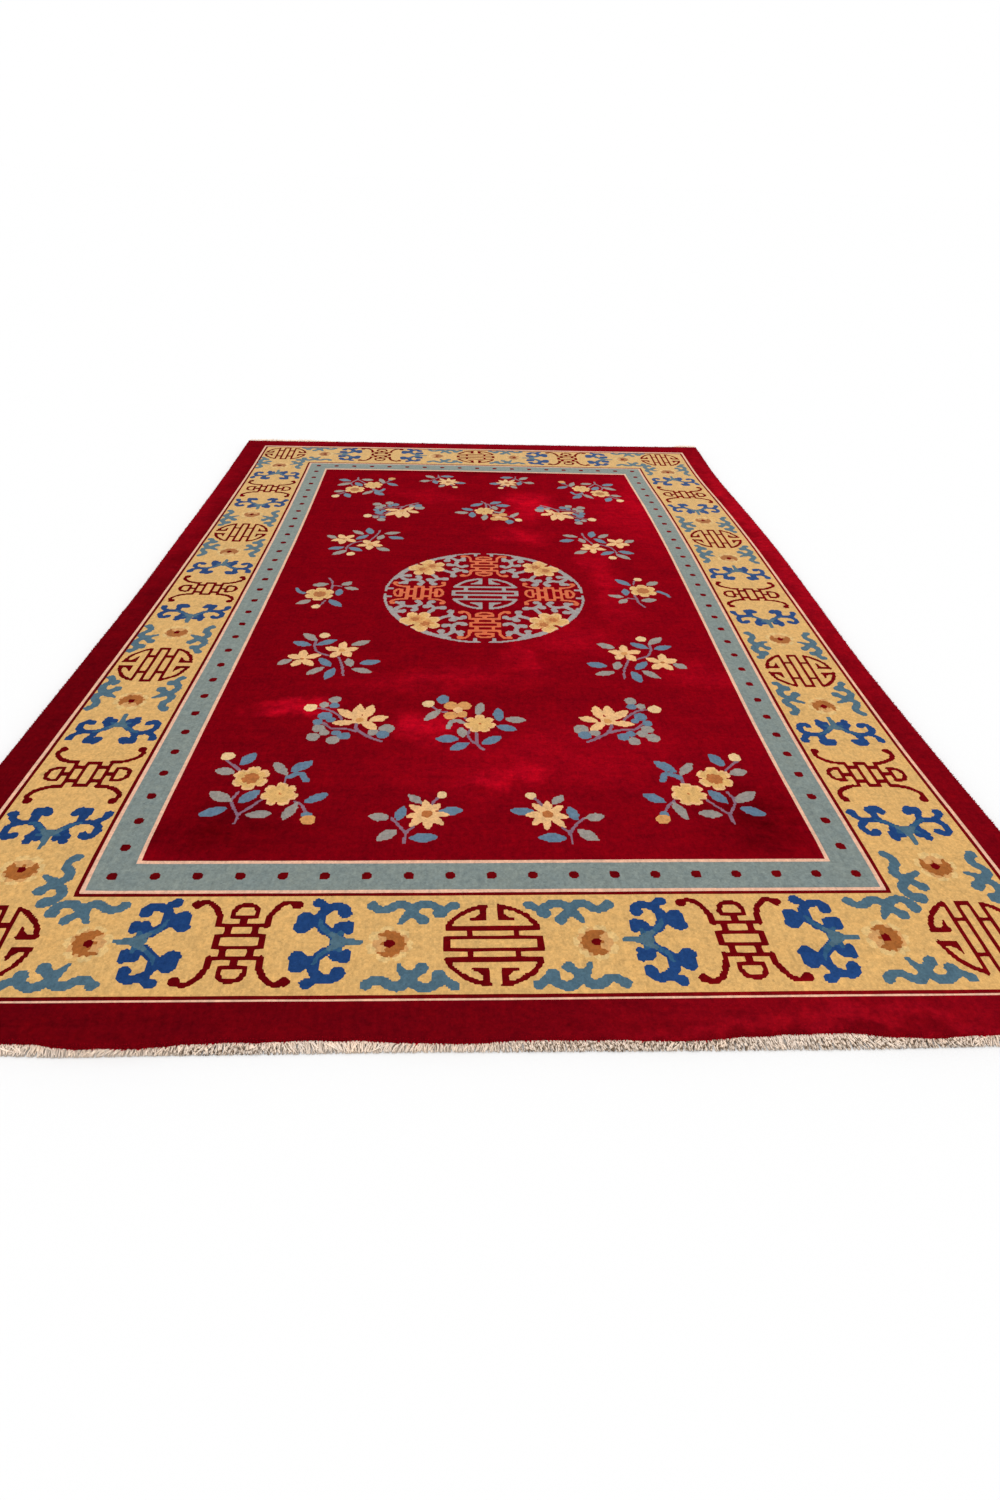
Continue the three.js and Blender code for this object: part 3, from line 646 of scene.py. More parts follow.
class Chart:
    """The yarn of every knot, painted motif by motif, in knots from the rug's middle."""

    def __init__(self, ground):
        self.knots = np.full((KNOTS_ALONG, KNOTS_ACROSS), YARNS.index(ground), np.int16)
        self.x = np.arange(KNOTS_ACROSS) + 0.5 - KNOTS_ACROSS / 2
        self.y = np.arange(KNOTS_ALONG) + 0.5 - KNOTS_ALONG / 2
        random = np.random.default_rng(11)
        self.slips = [self.slip(random) for _ in range(2)]

    def slip(self, random):
        """How far the knotter's hand strays from the drawn line, smoothly from knot to knot."""
        rows, columns = KNOTS_ALONG // HAND_SPACING + 2, KNOTS_ACROSS // HAND_SPACING + 2
        coarse = random.uniform(-HAND_SLIP, HAND_SLIP, (rows, columns))
        x, y = np.arange(KNOTS_ACROSS) / HAND_SPACING, np.arange(KNOTS_ALONG) / HAND_SPACING
        across = np.array([np.interp(x, np.arange(columns), row) for row in coarse])
        return np.array([np.interp(y, np.arange(rows), column) for column in across.T]).T

    def paint(self, place, yarn, middle, reach, covers, strays=True):
        """Dye the knots near a motif's middle that it covers, which is asked in the motif's own place."""
        cx, cy = place.origin + place.matrix @ np.array(middle, float)
        r = reach * place.scale + 1
        i0, i1 = np.searchsorted(self.x, [cx - r, cx + r])
        j0, j1 = np.searchsorted(self.y, [cy - r, cy + r])
        if i0 >= i1 or j0 >= j1:
            return
        gx, gy = np.meshgrid(self.x[i0:i1] - place.origin[0], self.y[j0:j1] - place.origin[1])
        if strays:
            gx = gx + self.slips[0][j0:j1, i0:i1]
            gy = gy + self.slips[1][j0:j1, i0:i1]
        back = np.linalg.inv(place.matrix)
        hit = covers(back[0, 0] * gx + back[0, 1] * gy, back[1, 0] * gx + back[1, 1] * gy)
        self.knots[j0:j1, i0:i1][hit] = YARNS.index(yarn)

    def bar(self, place, yarn, x0, y0, x1, y1):
        """A straight bar from one corner to the other, along the motif's own axes."""
        def covers(x, y):
            return (x > x0) & (x < x1) & (y > y0) & (y < y1)

        reach = math.hypot(x1 - x0, y1 - y0) / 2
        self.paint(place, yarn, ((x0 + x1) / 2, (y0 + y1) / 2), reach, covers, strays=False)

    def disc(self, place, yarn, x0, y0, radius):
        def covers(x, y):
            return ((x - x0) / radius) ** 2 + ((y - y0) / radius) ** 2 < 1

        self.paint(place, yarn, (x0, y0), radius, covers)

    def stroke(self, place, yarn, points, width, end_width=None):
        """A yarn line along a smooth curve, from its width at the start to its end width."""
        line = smooth(points)
        along = np.r_[0, np.cumsum(np.hypot(*np.diff(line, axis=0).T))]
        half = np.interp(along, [0, along[-1]], [width / 2, (end_width or width) / 2])
        middle = line.mean(0)
        reach = np.hypot(*(line - middle).T).max() + half.max()

        def covers(x, y):
            hit = np.zeros(x.shape, bool)
            for (ax, ay), (bx, by), ha, hb in zip(line, line[1:], half, half[1:]):
                dx, dy = bx - ax, by - ay
                t = np.clip(((x - ax) * dx + (y - ay) * dy) / max(dx * dx + dy * dy, 1e-9), 0, 1)
                hit |= np.hypot(x - ax - t * dx, y - ay - t * dy) < ha + (hb - ha) * t
            return hit

        self.paint(place, yarn, middle, reach, covers)

    def patch(self, place, yarn, corners):
        """A patch with straight sides."""
        p = np.array(corners, float)
        middle = p.mean(0)

        def covers(x, y):
            inside = np.zeros(x.shape, bool)
            for (ax, ay), (bx, by) in zip(p, np.roll(p, -1, axis=0)):
                if ay != by:
                    inside ^= ((ay > y) != (by > y)) & (x < ax + (y - ay) * (bx - ax) / (by - ay))
            return inside

        self.paint(place, yarn, middle, np.hypot(*(p - middle).T).max(), covers)

    def leaf(self, place, yarn, base, tip, width, fullest=0.5):
        """A pointed leaf or petal from its base to its tip, widest at the fullest share of its length."""
        (ax, ay), (bx, by) = base, tip
        long = math.hypot(bx - ax, by - ay)
        ux, uy = (bx - ax) / long, (by - ay) / long
        power = math.log(0.5) / math.log(fullest)

        def covers(x, y):
            t = ((x - ax) * ux + (y - ay) * uy) / long
            off = np.abs((y - ay) * ux - (x - ax) * uy)
            return (t > 0) & (t < 1) & (off < width / 2 * np.sin(np.pi * np.clip(t, 1e-6, 1) ** power) ** 0.8)

        self.paint(place, yarn, ((ax + bx) / 2, (ay + by) / 2), long / 2 + width, covers)

    def scallop(self, place, yarn, x0, y0, radius, petals, turn=0.0, depth=0.2, nicks=0.05):
        """A round flower head with cuts between its petals and a nick in each petal's edge."""
        def covers(x, y):
            angle = np.arctan2(y - y0, x - x0) - math.radians(turn)
            petal = np.abs(np.cos(angle * petals / 2)) ** 0.6
            nick = np.abs(np.sin(angle * petals)) ** 0.7
            return np.hypot(x - x0, y - y0) < radius * (1 - depth * (1 - petal) + nicks * (nick - 1))

        self.paint(place, yarn, (x0, y0), radius, covers)


def draw_bands(chart):
    """The outer band, the border's and the guard's grounds and lines, and the guard's dots."""
    rug = Place()
    for yarn_name, left, near, right, far in BANDS:
        chart.bar(rug, yarn_name, -left, -near, right, far)
    for i in range(DOTS_ACROSS):
        for j in range(DOTS_ALONG):
            if i in (0, DOTS_ACROSS - 1) or j in (0, DOTS_ALONG - 1):
                x = DOT_PITCH * (i - (DOTS_ACROSS - 1) / 2)
                y = DOT_PITCH * (j - (DOTS_ALONG - 1) / 2)
                chart.disc(rug, "maroon", x + 0.5, y + 0.5, DOT_RADIUS)


def draw_roundel(chart, place, yarn_name, thick=2.1, upright=2.9, strut=10.2):
    """A round badge of bars: a closed box, two chord bars and four hooked caps."""
    h = thick / 2
    box, chord, box_half, chord_half = (ROUNDEL[name] for name in ("box", "chord", "box half", "chord half"))
    rim = [ROUNDEL["rim"] * np.array([math.sin(a), math.cos(a)]) for a in np.radians(ROUNDEL["stops"])]
    cap, foot, top = ROUNDEL["cap"]
    for q in place.four_ways():
        chart.bar(q, yarn_name, -1, box - h, box_half, box + h)
        chart.bar(q, yarn_name, -1, chord - h, chord_half, chord + h)
        chart.bar(q, yarn_name, box_half - upright, -1, box_half, box)
        chart.bar(q, yarn_name, strut - upright / 2, box, strut + upright / 2, chord)
        chart.stroke(q, yarn_name, rim, (thick + upright) / 2)
        chart.bar(q, yarn_name, cap, foot, cap + upright, top)
        chart.patch(q, yarn_name, ROUNDEL["hook"])


def draw_long_badge(chart, place, yarn_name, shape):
    """A tall badge of bars with a loop at each end and four curling horns."""
    thick, upright = shape["thick"], shape["upright"]
    h = thick / 2
    base, top, half = shape["loop"]
    for q in place.four_ways():
        chart.bar(q, yarn_name, -1, shape["chord"] - h, shape["bar"], shape["chord"] + h)
        chart.bar(q, yarn_name, -1, shape["box"] - h, shape["bar"], shape["box"] + h)
        chart.bar(q, yarn_name, shape["bar"] - upright, -1, shape["bar"], shape["box"])
        strut = shape["strut"]
        chart.bar(q, yarn_name, strut - upright / 2, shape["box"], strut + upright / 2, shape["chord"])
        chart.bar(q, yarn_name, -1, shape["chord"], upright / 2, base + 1)
        chart.bar(q, yarn_name, -1, base, half + 1, base + thick)
        loop = [(half, base + 1), (half, base + 4), (half * 0.68, top - 1.2), (0, top)]
        chart.stroke(q, yarn_name, loop, (thick + upright) / 2)
        chart.stroke(q, yarn_name, shape["curl"], upright)
        chart.disc(q, yarn_name, *shape["knob"])


def draw_big_scroll(chart, place, lobes, strokes):
    """Two leafy arms from one root, which open toward the long badge along +x."""
    for q in place.both_sides():
        for points, width, end_width in strokes:
            chart.stroke(q, "deep_blue", points, width, end_width)
        for x, y, radius in lobes:
            chart.disc(q, "deep_blue", x, y, radius)
        chart.stroke(q, "mid_blue", *SCROLL_SPUR)
        for yarn_name, followed, width, end_width in SCROLL_VEINS:
            chart.stroke(q, yarn_name, strokes[0][0][:followed], width, end_width)
    chart.stroke(place, "teal", *SCROLL_ROOT)


def draw_blossom(chart, place):
    """A ragged amber flower in a pale halo, open toward the long badge along +x."""
    for yarn_name, x, radius, petals, turn, depth, nicks in FLOWER_RINGS:
        chart.scallop(place, yarn_name, x, 0, radius, petals, turn, depth, nicks)
    chart.patch(place, "amber", [*RAGGED_HALF, RAGGED_TIP, *((x, -y) for x, y in reversed(RAGGED_HALF))])
    chart.disc(place, "maroon", 0, 0, FLOWER_HEART)


def draw_tendrils(chart, place, short=None):
    """A waving tendril along each edge of the band, with a bent leaf toward its middle; one may be short."""
    for side, q in enumerate(place.both_sides()):
        last = -1 if side == short else None
        for points, width, end_width in TENDRIL_STROKES[:last]:
            chart.stroke(q, "teal", points, width, end_width)
        for x, y, radius in TENDRIL_LOBES[:last]:
            chart.disc(q, "teal", x, y, radius)


def draw_border(chart):
    """Roundels round the border, and between each two a long badge with scrolls, flowers and tendrils."""
    for (start, badge), (end, _) in zip(BORDER_STOPS, BORDER_STOPS[1:] + BORDER_STOPS[:1]):
        along, across = end[1] - start[1], end[0] - start[0]
        form = "side" if abs(along) > abs(across) else "row"
        turn = math.degrees(math.atan2(along, across))
        draw_roundel(chart, Place(*start, 0 if abs(start[0]) < 1 else 90, 1.03), "maroon")
        draw_long_badge(chart, Place(*badge, turn), "maroon", BORDER_BADGE)
        for inner, (roundel, toward) in zip((1, 0), ((start, turn), (end, turn + 180))):
            at_corner = abs(roundel[0]) > CORNER_FROM[0] and abs(roundel[1]) > CORNER_FROM[1]
            way, lobes, strokes = BIG_SCROLLS[form]
            draw_big_scroll(chart, Place(*badge, toward).inside(way, 0), lobes, strokes)
            draw_blossom(chart, Place(*roundel, toward).inside(BLOSSOM_AWAY, 0))
            short = inner if at_corner else None
            draw_tendrils(chart, Place(*roundel, toward).inside(TENDRILS_AWAY, 0), short)


def draw_spray(chart, place, parts):
    """A flower spray, part by part: lines, leaves, buds, star flowers and round flower heads."""
    for kind, yarn_name, *rest in parts:
        if kind == "line":
            chart.stroke(place, yarn_name, *rest)
        elif kind == "leaf":
            chart.leaf(place, yarn_name, *rest)
        elif kind == "lobes":
            for x, y, radius in rest[0]:
                chart.disc(place, yarn_name, x, y, radius)
        elif kind == "star":
            middle, tips, width = rest
            for tip in tips:
                chart.leaf(place, yarn_name, middle, tip, width, 0.55)
        else:
            x, y, radius, petals, heart = rest
            chart.scallop(place, yarn_name, x, y, radius, petals, turn=90, depth=0.3, nicks=0.07)
            chart.scallop(place, "gold", x, y, radius - 1.7, petals, turn=90, depth=0.3, nicks=0.1)
            chart.scallop(place, "umber", x, y, heart, 8, depth=0.3)


def draw_medallion(chart):
    """The ring with four long badges, four double flowers, tendrils and the roundel in the middle."""
    middle = Place(*MEDALLION, scale=MEDALLION_STRETCH)
    ring = [RING_RADIUS * np.array([math.cos(a), math.sin(a)]) for a in np.radians(range(0, 361, 6))]
    chart.stroke(middle, "ring_slate", ring, RING_WIDTH)
    for turn, gap in RING_GAPS:
        side = middle.inside(turn=turn)
        chart.bar(side, "field_red", -gap, RING_GAP_REACH[0], gap, RING_GAP_REACH[1])
        for mirrored in (side, side.inside(flip=-1)):
            chart.bar(mirrored, "ring_slate", *RING_TICK)
    for quarter in middle.four_ways():
        for half in (quarter, quarter.inside(swap=True)):
            for points, width, end_width in RING_STROKES:
                chart.stroke(half, "ring_slate", points, width, end_width)
            for x, y, radius in RING_LOBES:
                chart.disc(half, "ring_slate", x, y, radius)
        for yarn_name, rim in PEONY_RIMS:
            for x, y, radius in PEONY_LOBES:
                chart.disc(quarter, yarn_name, x, y, radius - rim)
        for x, y in PEONY_HEARTS:
            for yarn_name, step, radius, turn, depth in PEONY_HEART_RINGS:
                chart.scallop(quarter, yarn_name, x + step, y + step, radius, 5, turn, depth)
        chart.patch(quarter, "field_red", PEONY_CLEFT)
    for turn, _ in RING_GAPS:
        badge = middle.inside(turn=turn).inside(0, RING_BADGE_AWAY)
        draw_long_badge(chart, badge, "badge_orange", MEDALLION_BADGE)
    step, scale, *bars = MIDDLE_ROUNDEL
    draw_roundel(chart, middle.inside(step, 0, scale=scale), "ring_slate", *bars)


def draw_chart():
    """The yarn of every knot, as row and column from the near left corner."""
    chart = Chart("outer_red")
    draw_bands(chart)
    draw_border(chart)
    for name, x, y, turn, flip in SPRAY_PLACES:
        draw_spray(chart, Place(x, y, turn=turn, flip=flip), SPRAYS[name])
    draw_medallion(chart)
    return chart.knots


def linear(colour):
    """A screen colour as the linear one that a shader reads."""
    c = np.array(colour, float)
    return np.where(c <= 0.04045, c / 12.92, ((c + 0.055) / 1.055) ** 2.4)


def yarn_colours():
    """The linear colour of every yarn, in the chart's order."""
    dyes = bpy.context.scene.rug_yarns
    return np.array([[*linear(getattr(dyes, name)), 1.0] for name in YARNS])


def outline_of_yarns(knots):
    """The corners and edges of the chart's areas of one yarn, with extra stops so that they can bend."""
    rows, columns = knots.shape
    level = np.ones((rows + 1, columns), bool)
    level[1:-1] = knots[1:] != knots[:-1]
    upright = np.ones((rows, columns + 1), bool)
    upright[:, 1:-1] = knots[:, 1:] != knots[:, :-1]
    left, right, down, up = (np.zeros((rows + 1, columns + 1), bool) for _ in range(4))
    left[:, 1:], right[:, :-1], down[1:], up[:-1] = level, level, upright, upright
    meeting = left.astype(int) + right + down + up
    straight = (meeting == 2) & ((left & right) | (up & down))
    j, i = np.mgrid[0:rows + 1, 0:columns + 1]
    border = (i == 0) | (i == columns) | (j == 0) | (j == rows)
    gap = np.where(border, BORDER_STOP, INNER_STOP)
    stop = ((left & right) & (i % gap == 0)) | ((up & down) & (j % gap == 0))
    corner = (meeting > 0) & (~straight | stop)
    loose = (meeting == 0) & (i % INNER_STOP == 0) & (j % INNER_STOP == 0)
    number = np.full(corner.shape, -1)
    number[corner | loose] = np.arange((corner | loose).sum())
    edges = []
    for stopped, numbers, parted in (corner, number, level), (corner.T, number.T, upright.T):
        for here, at, part in zip(stopped, numbers, parted):
            stops = np.flatnonzero(here)
            edges += [(at[a], at[b]) for a, b in zip(stops, stops[1:]) if part[a]]
    j, i = np.nonzero(corner | loose)
    return np.column_stack([i, j]).astype(float), np.array(edges)


def doubled_area(points, triangles):
    """Twice the area of each triangle, below nothing where it turns clockwise."""
    a, b, c = (points[triangles[:, k]] for k in range(3))
    return (b[:, 0] - a[:, 0]) * (c[:, 1] - a[:, 1]) - (b[:, 1] - a[:, 1]) * (c[:, 0] - a[:, 0])


def cut_chart(knots):
    """The chart as points in knots, triangles of one yarn each, and the border points in order."""
    points, edges = outline_of_yarns(knots)
    cut = delaunay_2d_cdt([Vector(p) for p in points], [tuple(map(int, e)) for e in edges], [], 0, 1e-4)
    points = np.array([tuple(p) for p in cut[0]])
    triangles = np.array([tuple(t) for t in cut[2]])
    turned = doubled_area(points, triangles) < 0
    triangles[turned] = triangles[turned][:, ::-1]
    middle = points[triangles].mean(1)
    dyes = knots[middle[:, 1].astype(int), middle[:, 0].astype(int)]
    x, y = np.round(points).astype(int).T
    border = []
    for chosen, order in (
        ((y == 0) & (x < KNOTS_ACROSS), x), ((x == KNOTS_ACROSS) & (y < KNOTS_ALONG), y),
        ((y == KNOTS_ALONG) & (x > 0), -x), ((x == 0) & (y > 0), -y),
    ):
        side = np.nonzero(chosen)[0]
        border += list(side[np.argsort(order[side])])
    return soften(points, edges, triangles, border), triangles, dyes, np.array(border)


def soften(points, edges, triangles, border):
    """Round the steps of the knots a little, as clipped wool does, and let each corner stray."""
    random = np.random.default_rng(3)
    meeting = np.bincount(edges.ravel(), minlength=len(points))
    beside = np.zeros_like(points)
    for k in (0, 1):
        np.add.at(beside, edges[:, k], points[edges[:, 1 - k]])
    pull = np.where(meeting[:, None] == 2, beside / 2 - points, 0) * CORNER_SHARE
    far = np.hypot(*pull.T)[:, None]
    pull *= np.minimum(1, CORNER_PULL / np.maximum(far, 1e-9))
    common, most = CORNER_STRAY
    stray = np.clip(random.normal(0, common, points.shape), -most, most)
    moved = points + pull + stray
    moved[border] = points[border]
    for _ in range(4):
        back = np.unique(triangles[doubled_area(moved, triangles) < LEAST_AREA])
        moved[back] = points[back]
    return moved


def drawn_in(u, v, inset):
    """Where points of the flat chart lie when the pile's outside stands this far in and its ends wave."""
    end = np.sign(v)
    reach = edge_reach(u, end)
    along = np.abs(v) + reach * np.clip((np.abs(v) - HALF_ALONG + EDGE_BLEND) / EDGE_BLEND, 0, 1)
    along = np.minimum(along, HALF_ALONG - inset + reach)
    return np.clip(u, inset - HALF_ACROSS, HALF_ACROSS - inset), end * along


def pile_shape(points, triangles, border):
    """The pile's points in metres, its faces, and each face corner's place in mm as if cut open and flat.

    The faces are the clipped top, the sheared sides ring by ring and the back, in this order.
    """
    u = (points[:, 0] - KNOTS_ACROSS / 2) * KNOT
    v = (points[:, 1] - KNOTS_ALONG / 2) * KNOT
    places, flats = [], []
    top_u, top_v = drawn_in(u, v, SHEARED_SIDE[0][0])
    places.append(np.column_stack([*woven(top_u, top_v), pile_height(top_u, top_v)]))
    flats.append(np.column_stack([top_u, top_v]))
    out_x = np.sign(u[border]) * (np.abs(u[border]) > HALF_ACROSS - 0.01)
    out_y = np.sign(v[border]) * (np.abs(v[border]) > HALF_ALONG - 0.01)
    fallen = 0.0
    for (inset, share), (inset_before, share_before) in zip(SHEARED_SIDE[1:], SHEARED_SIDE):
        fallen += math.hypot(inset - inset_before, (share - share_before) * PILE_TOP)
        ring_u, ring_v = drawn_in(u[border], v[border], inset)
        places.append(np.column_stack([*woven(ring_u, ring_v), share * pile_height(ring_u, ring_v)]))
        flats.append(np.column_stack([top_u[border] + out_x * fallen, top_v[border] + out_y * fallen]))
    back_u, back_v = drawn_in(u, v, SHEARED_SIDE[-1][0])
    inner = np.setdiff1d(np.arange(len(points)), border)
    places.append(np.column_stack([*woven(back_u[inner], back_v[inner]), np.zeros(len(inner))]))

    lower_rings = len(points) + np.arange((len(SHEARED_SIDE) - 1) * len(border)).reshape(-1, len(border))
    rings = [border, *lower_rings]
    back = np.empty(len(points), int)
    back[border] = rings[-1]
    back[inner] = rings[-1][-1] + 1 + np.arange(len(inner))
    faces, face_flats = [triangles], [flats[0][triangles]]
    unrolled = np.vstack(flats)
    for upper, lower in zip(rings, rings[1:]):
        a, b, c, d = upper, np.roll(upper, -1), np.roll(lower, -1), lower
        strip = np.vstack([np.column_stack([a, d, c]), np.column_stack([a, c, b])])
        faces.append(strip)
        face_flats.append(unrolled[strip])
    under = triangles[:, ::-1]
    faces.append(back[under])
    face_flats.append(np.column_stack([back_u, back_v])[under])
    return np.vstack(places), np.vstack(faces), np.vstack(face_flats).reshape(-1, 2)


def bake_places(flat, on_back):
    """Where the pile's top and, smaller and beside it, its back lie on the sheet laid out for baking."""
    size = 2 * (HALF_ALONG + BAKE_MARGIN)
    half = (HALF_ACROSS + BAKE_MARGIN) / size
    on_top = flat / size + np.array([half, 0.5])
    beneath = flat / (BACK_SMALLER * size) + np.array([1 - half / BACK_SMALLER, 0.5])
    return np.where(on_back[:, None], beneath, on_top)


def pile_mesh(knots):
    """The closed rug body: its clipped top, its sheared sides and its knotted back, dyed knot by knot."""
    points, triangles, dyes, border = cut_chart(knots)
    places, faces, flat = pile_shape(points, triangles, border)
    sides = len(faces) - 2 * len(triangles)
    on_back = np.arange(len(faces)) >= len(triangles) + sides
    face_dyes = np.hstack([dyes, np.full(sides, YARNS.index("outer_red")), dyes])
    mesh = bpy.data.meshes.new("wool_pile")
    mesh.from_pydata(places.tolist(), [], faces.tolist())
    mesh.polygons.foreach_set("material_index", on_back.astype(np.int32))
    mesh.polygons.foreach_set("use_smooth", np.ones(len(faces), bool))
    for name, at in (("knots", flat / KNOT), ("OFBake", bake_places(flat, np.repeat(on_back, 3)))):
        mesh.uv_layers.new(name=name).data.foreach_set("uv", at.ravel().astype(np.float32))
    dyed = mesh.color_attributes.new("yarn", "FLOAT_COLOR", "CORNER")
    colours = yarn_colours()[face_dyes]
    dyed.data.foreach_set("color", np.repeat(colours, 3, axis=0).ravel().astype(np.float32))
    mesh.update()
    return mesh


class Wiring:
    """Puts nodes into a tree one after another and links them."""

    def __init__(self, tree):
        self.tree = tree
        self.placed = 0

    def node(self, kind, inputs=None, **settings):
        made = self.tree.nodes.new(kind)
        for name, value in settings.items():
            setattr(made, name, value)
        for name, value in (inputs or {}).items():
            if isinstance(value, bpy.types.NodeSocket):
                self.tree.links.new(value, made.inputs[name])
            else:
                made.inputs[name].default_value = value
        made.location = (220 * (self.placed // 4), -260 * (self.placed % 4))
        self.placed += 1
        return made

    def link(self, output, socket):
        self.tree.links.new(output, socket)

    def group(self, tree, inputs):
        """The outputs of a node group placed with its own values."""
        return self.node("ShaderNodeGroup", inputs, node_tree=tree).outputs

    def math(self, operation, a, b=0.0):
        return self.node("ShaderNodeMath", {0: a, 1: b}, operation=operation).outputs[0]

    def noise(self, vector, scale, detail=2.0, roughness=0.5):
        inputs = {"Vector": vector, "Scale": scale, "Detail": detail, "Roughness": roughness}
        return self.node("ShaderNodeTexNoise", inputs).outputs["Fac"]

    def centred(self, value):
        """A value from 0 to 1 as one from -1 to 1."""
        return self.node("ShaderNodeMath", {0: value, 1: 2.0, 2: -1.0}, operation="MULTIPLY_ADD").outputs[0]

    def sum(self, *terms):
        """The sum of values, each times its weight."""
        total = 0.0
        for value, weight in terms:
            inputs = {0: value, 1: weight, 2: total}
            total = self.node("ShaderNodeMath", inputs, operation="MULTIPLY_ADD").outputs[0]
        return total

    def stretched(self, vector, across, along, turn=0.0):
        inputs = {"Vector": vector, "Scale": (across, along, 1), "Rotation": (0, 0, turn)}
        return self.node("ShaderNodeMapping", inputs).outputs[0]

    def between(self, value, low, high, to_low, to_high):
        inputs = {"Value": value, "From Min": low, "From Max": high, "To Min": to_low, "To Max": to_high}
        return self.node("ShaderNodeMapRange", inputs, interpolation_type="SMOOTHSTEP").outputs[0]

    def vectors(self, operation, a, b=(0.0, 0.0, 0.0)):
        return self.node("ShaderNodeVectorMath", {0: a, 1: b}, operation=operation).outputs[0]

    def scaled(self, vector, amount):
        """A place or a colour times an amount."""
        return self.node("ShaderNodeVectorMath", {0: vector, "Scale": amount}, operation="SCALE").outputs[0]

    def split(self, vector):
        """The X, Y and Z of a place."""
        return self.node("ShaderNodeSeparateXYZ", {0: vector}).outputs

    def mixed(self, amount, one, other):
        return self.node("ShaderNodeMix", {0: amount, 6: one, 7: other}, data_type="RGBA").outputs[2]

    def place_and_knots(self):
        """Places on a piece in metres, and in knots as the wool's grain reads them."""
        place = self.node("ShaderNodeTexCoord").outputs["Object"]
        return place, self.scaled(place, 1000 / KNOT)

    def bump(self, shader, height, strength, distance):
        """Raise a shader's surface by a height between 0 and 1."""
        inputs = {"Height": height, "Strength": strength, "Distance": distance}
        self.link(self.node("ShaderNodeBump", inputs).outputs[0], shader.inputs["Normal"])


def shader_group(name, inputs, outputs):
    """An empty shader group with its sockets: names with a float, a vector or a colour as default."""
    group = bpy.data.node_groups.new(name, "ShaderNodeTree")
    kinds = {"value": "NodeSocketFloat", "vector": "NodeSocketVector", "colour": "NodeSocketColor"}
    for socket, (kind, default) in inputs.items():
        made = group.interface.new_socket(socket, in_out="INPUT", socket_type=kinds[kind])
        if default is not None:
            made.default_value = default
    for socket, kind in outputs.items():
        group.interface.new_socket(socket, in_out="OUTPUT", socket_type=kinds[kind])
    wires = Wiring(group)
    return group, wires, wires.node("NodeGroupInput").outputs, wires.node("NodeGroupOutput").inputs


def wool_grain_group():
    """Wool that differs from knot to knot, in its nap and along its rows, and its height."""
    group, wires, given, results = shader_group(
        "Wool grain",
        {"Colour": ("colour", None), "Knots": ("vector", None),
         "Fleck": ("value", 0.1), "Streak": ("value", 0.1), "Abrash": ("value", 0.1)},
        {"Colour": "colour", "Height": "value", "Grain": "value"},
    )
    knots = given["Knots"]
    cell = wires.vectors("FLOOR", knots)
    single = wires.centred(wires.node("ShaderNodeTexWhiteNoise", {"Vector": cell}).outputs["Value"])
    hair = wires.centred(wires.noise(knots, 2.4, 2.0, 0.6))
    mottle = wires.centred(wires.noise(knots, 0.3, 3.0, 0.6))
    streak = wires.centred(wires.noise(wires.stretched(knots, 0.5, 0.06), 1.0, 3.0, 0.6))
    rows = wires.centred(wires.noise(wires.stretched(knots, 0.012, 0.16), 1.0, 4.0, 0.65))
    cloud = wires.centred(wires.noise(knots, 0.06, 4.0, 0.6))
    grain = wires.sum((single, 0.3), (hair, 0.8), (mottle, 0.9))
    total = wires.sum((grain, given["Fleck"]), (streak, given["Streak"]), (rows, given["Abrash"]))
    brightness = wires.sum((total, 1.0), (cloud, given["Abrash"]), (1.0, 1.0))
    warmth = wires.sum((cloud, given["Abrash"]), (mottle, given["Abrash"]))
    redder, less_blue = wires.sum((warmth, 0.7), (1.0, 1.0)), wires.sum((warmth, -0.9), (1.0, 1.0))
    warm = wires.node("ShaderNodeCombineColor", {0: redder, 1: 1.0, 2: less_blue}).outputs[0]
    tinted = wires.vectors("MULTIPLY", given["Colour"], warm)
    wires.link(wires.scaled(tinted, brightness), results["Colour"])
    wires.link(wires.sum((single, 0.5), (hair, 0.8), (mottle, 0.6), (streak, 0.4)), results["Height"])
    wires.link(grain, results["Grain"])
    return group


def brushed_sheen_group():
    """Painted nap sheen: lighter where brushing laid the nap the other way, on the right and toward the far
    end.
    """
    group, wires, given, results = shader_group(
        "Brushed nap sheen", {"Place": ("vector", None)}, {"Lightness": "value"})
    place = given["Place"]
    inputs = {"Vector": place, "Scale": 8.0, "Detail": 4.0, "Roughness": 0.65}
    stray = wires.node("ShaderNodeTexNoise", inputs).outputs["Color"]
    shift = wires.vectors("SUBTRACT", stray, (0.5, 0.5, 0.5))
    strayed = wires.vectors("ADD", place, wires.scaled(shift, PATCH_STRAY))
    total = 0.0
    # each patch adds painted sheen to the nap
    for x, y, across, along, turn, strength in BRUSHED_SHEEN_PATCHES:
        inputs = {"Vector": strayed, "Location": (x, y, 0), "Rotation": (0, 0, math.radians(turn)),
                  "Scale": (across, along, 1000.0)}
        local = wires.node("ShaderNodeMapping", inputs, vector_type="TEXTURE").outputs[0]
        away = wires.node("ShaderNodeVectorMath", {0: local}, operation="LENGTH").outputs["Value"]
        total = wires.sum((wires.between(away, 0.0, 1.2, strength, 0.0), 1.0), (total, 1.0))
    wisps = wires.noise(wires.stretched(place, 22.0, 40.0, 0.2), 1.0, 4.0, 0.65)
    patches = wires.math("MULTIPLY", total, wires.between(wisps, 0.3, 0.7, 0.6, 1.25))
    split = wires.split(place)
    # painted sheen: lighter toward the rug's right and its far end, and in the patches
    lightness = wires.sum((split["X"], RIGHT_LIGHTER), (split["Y"], FAR_LIGHTER), (patches, 1.0), (1.0, 1.0))
    wires.link(lightness, results["Lightness"])
    return group


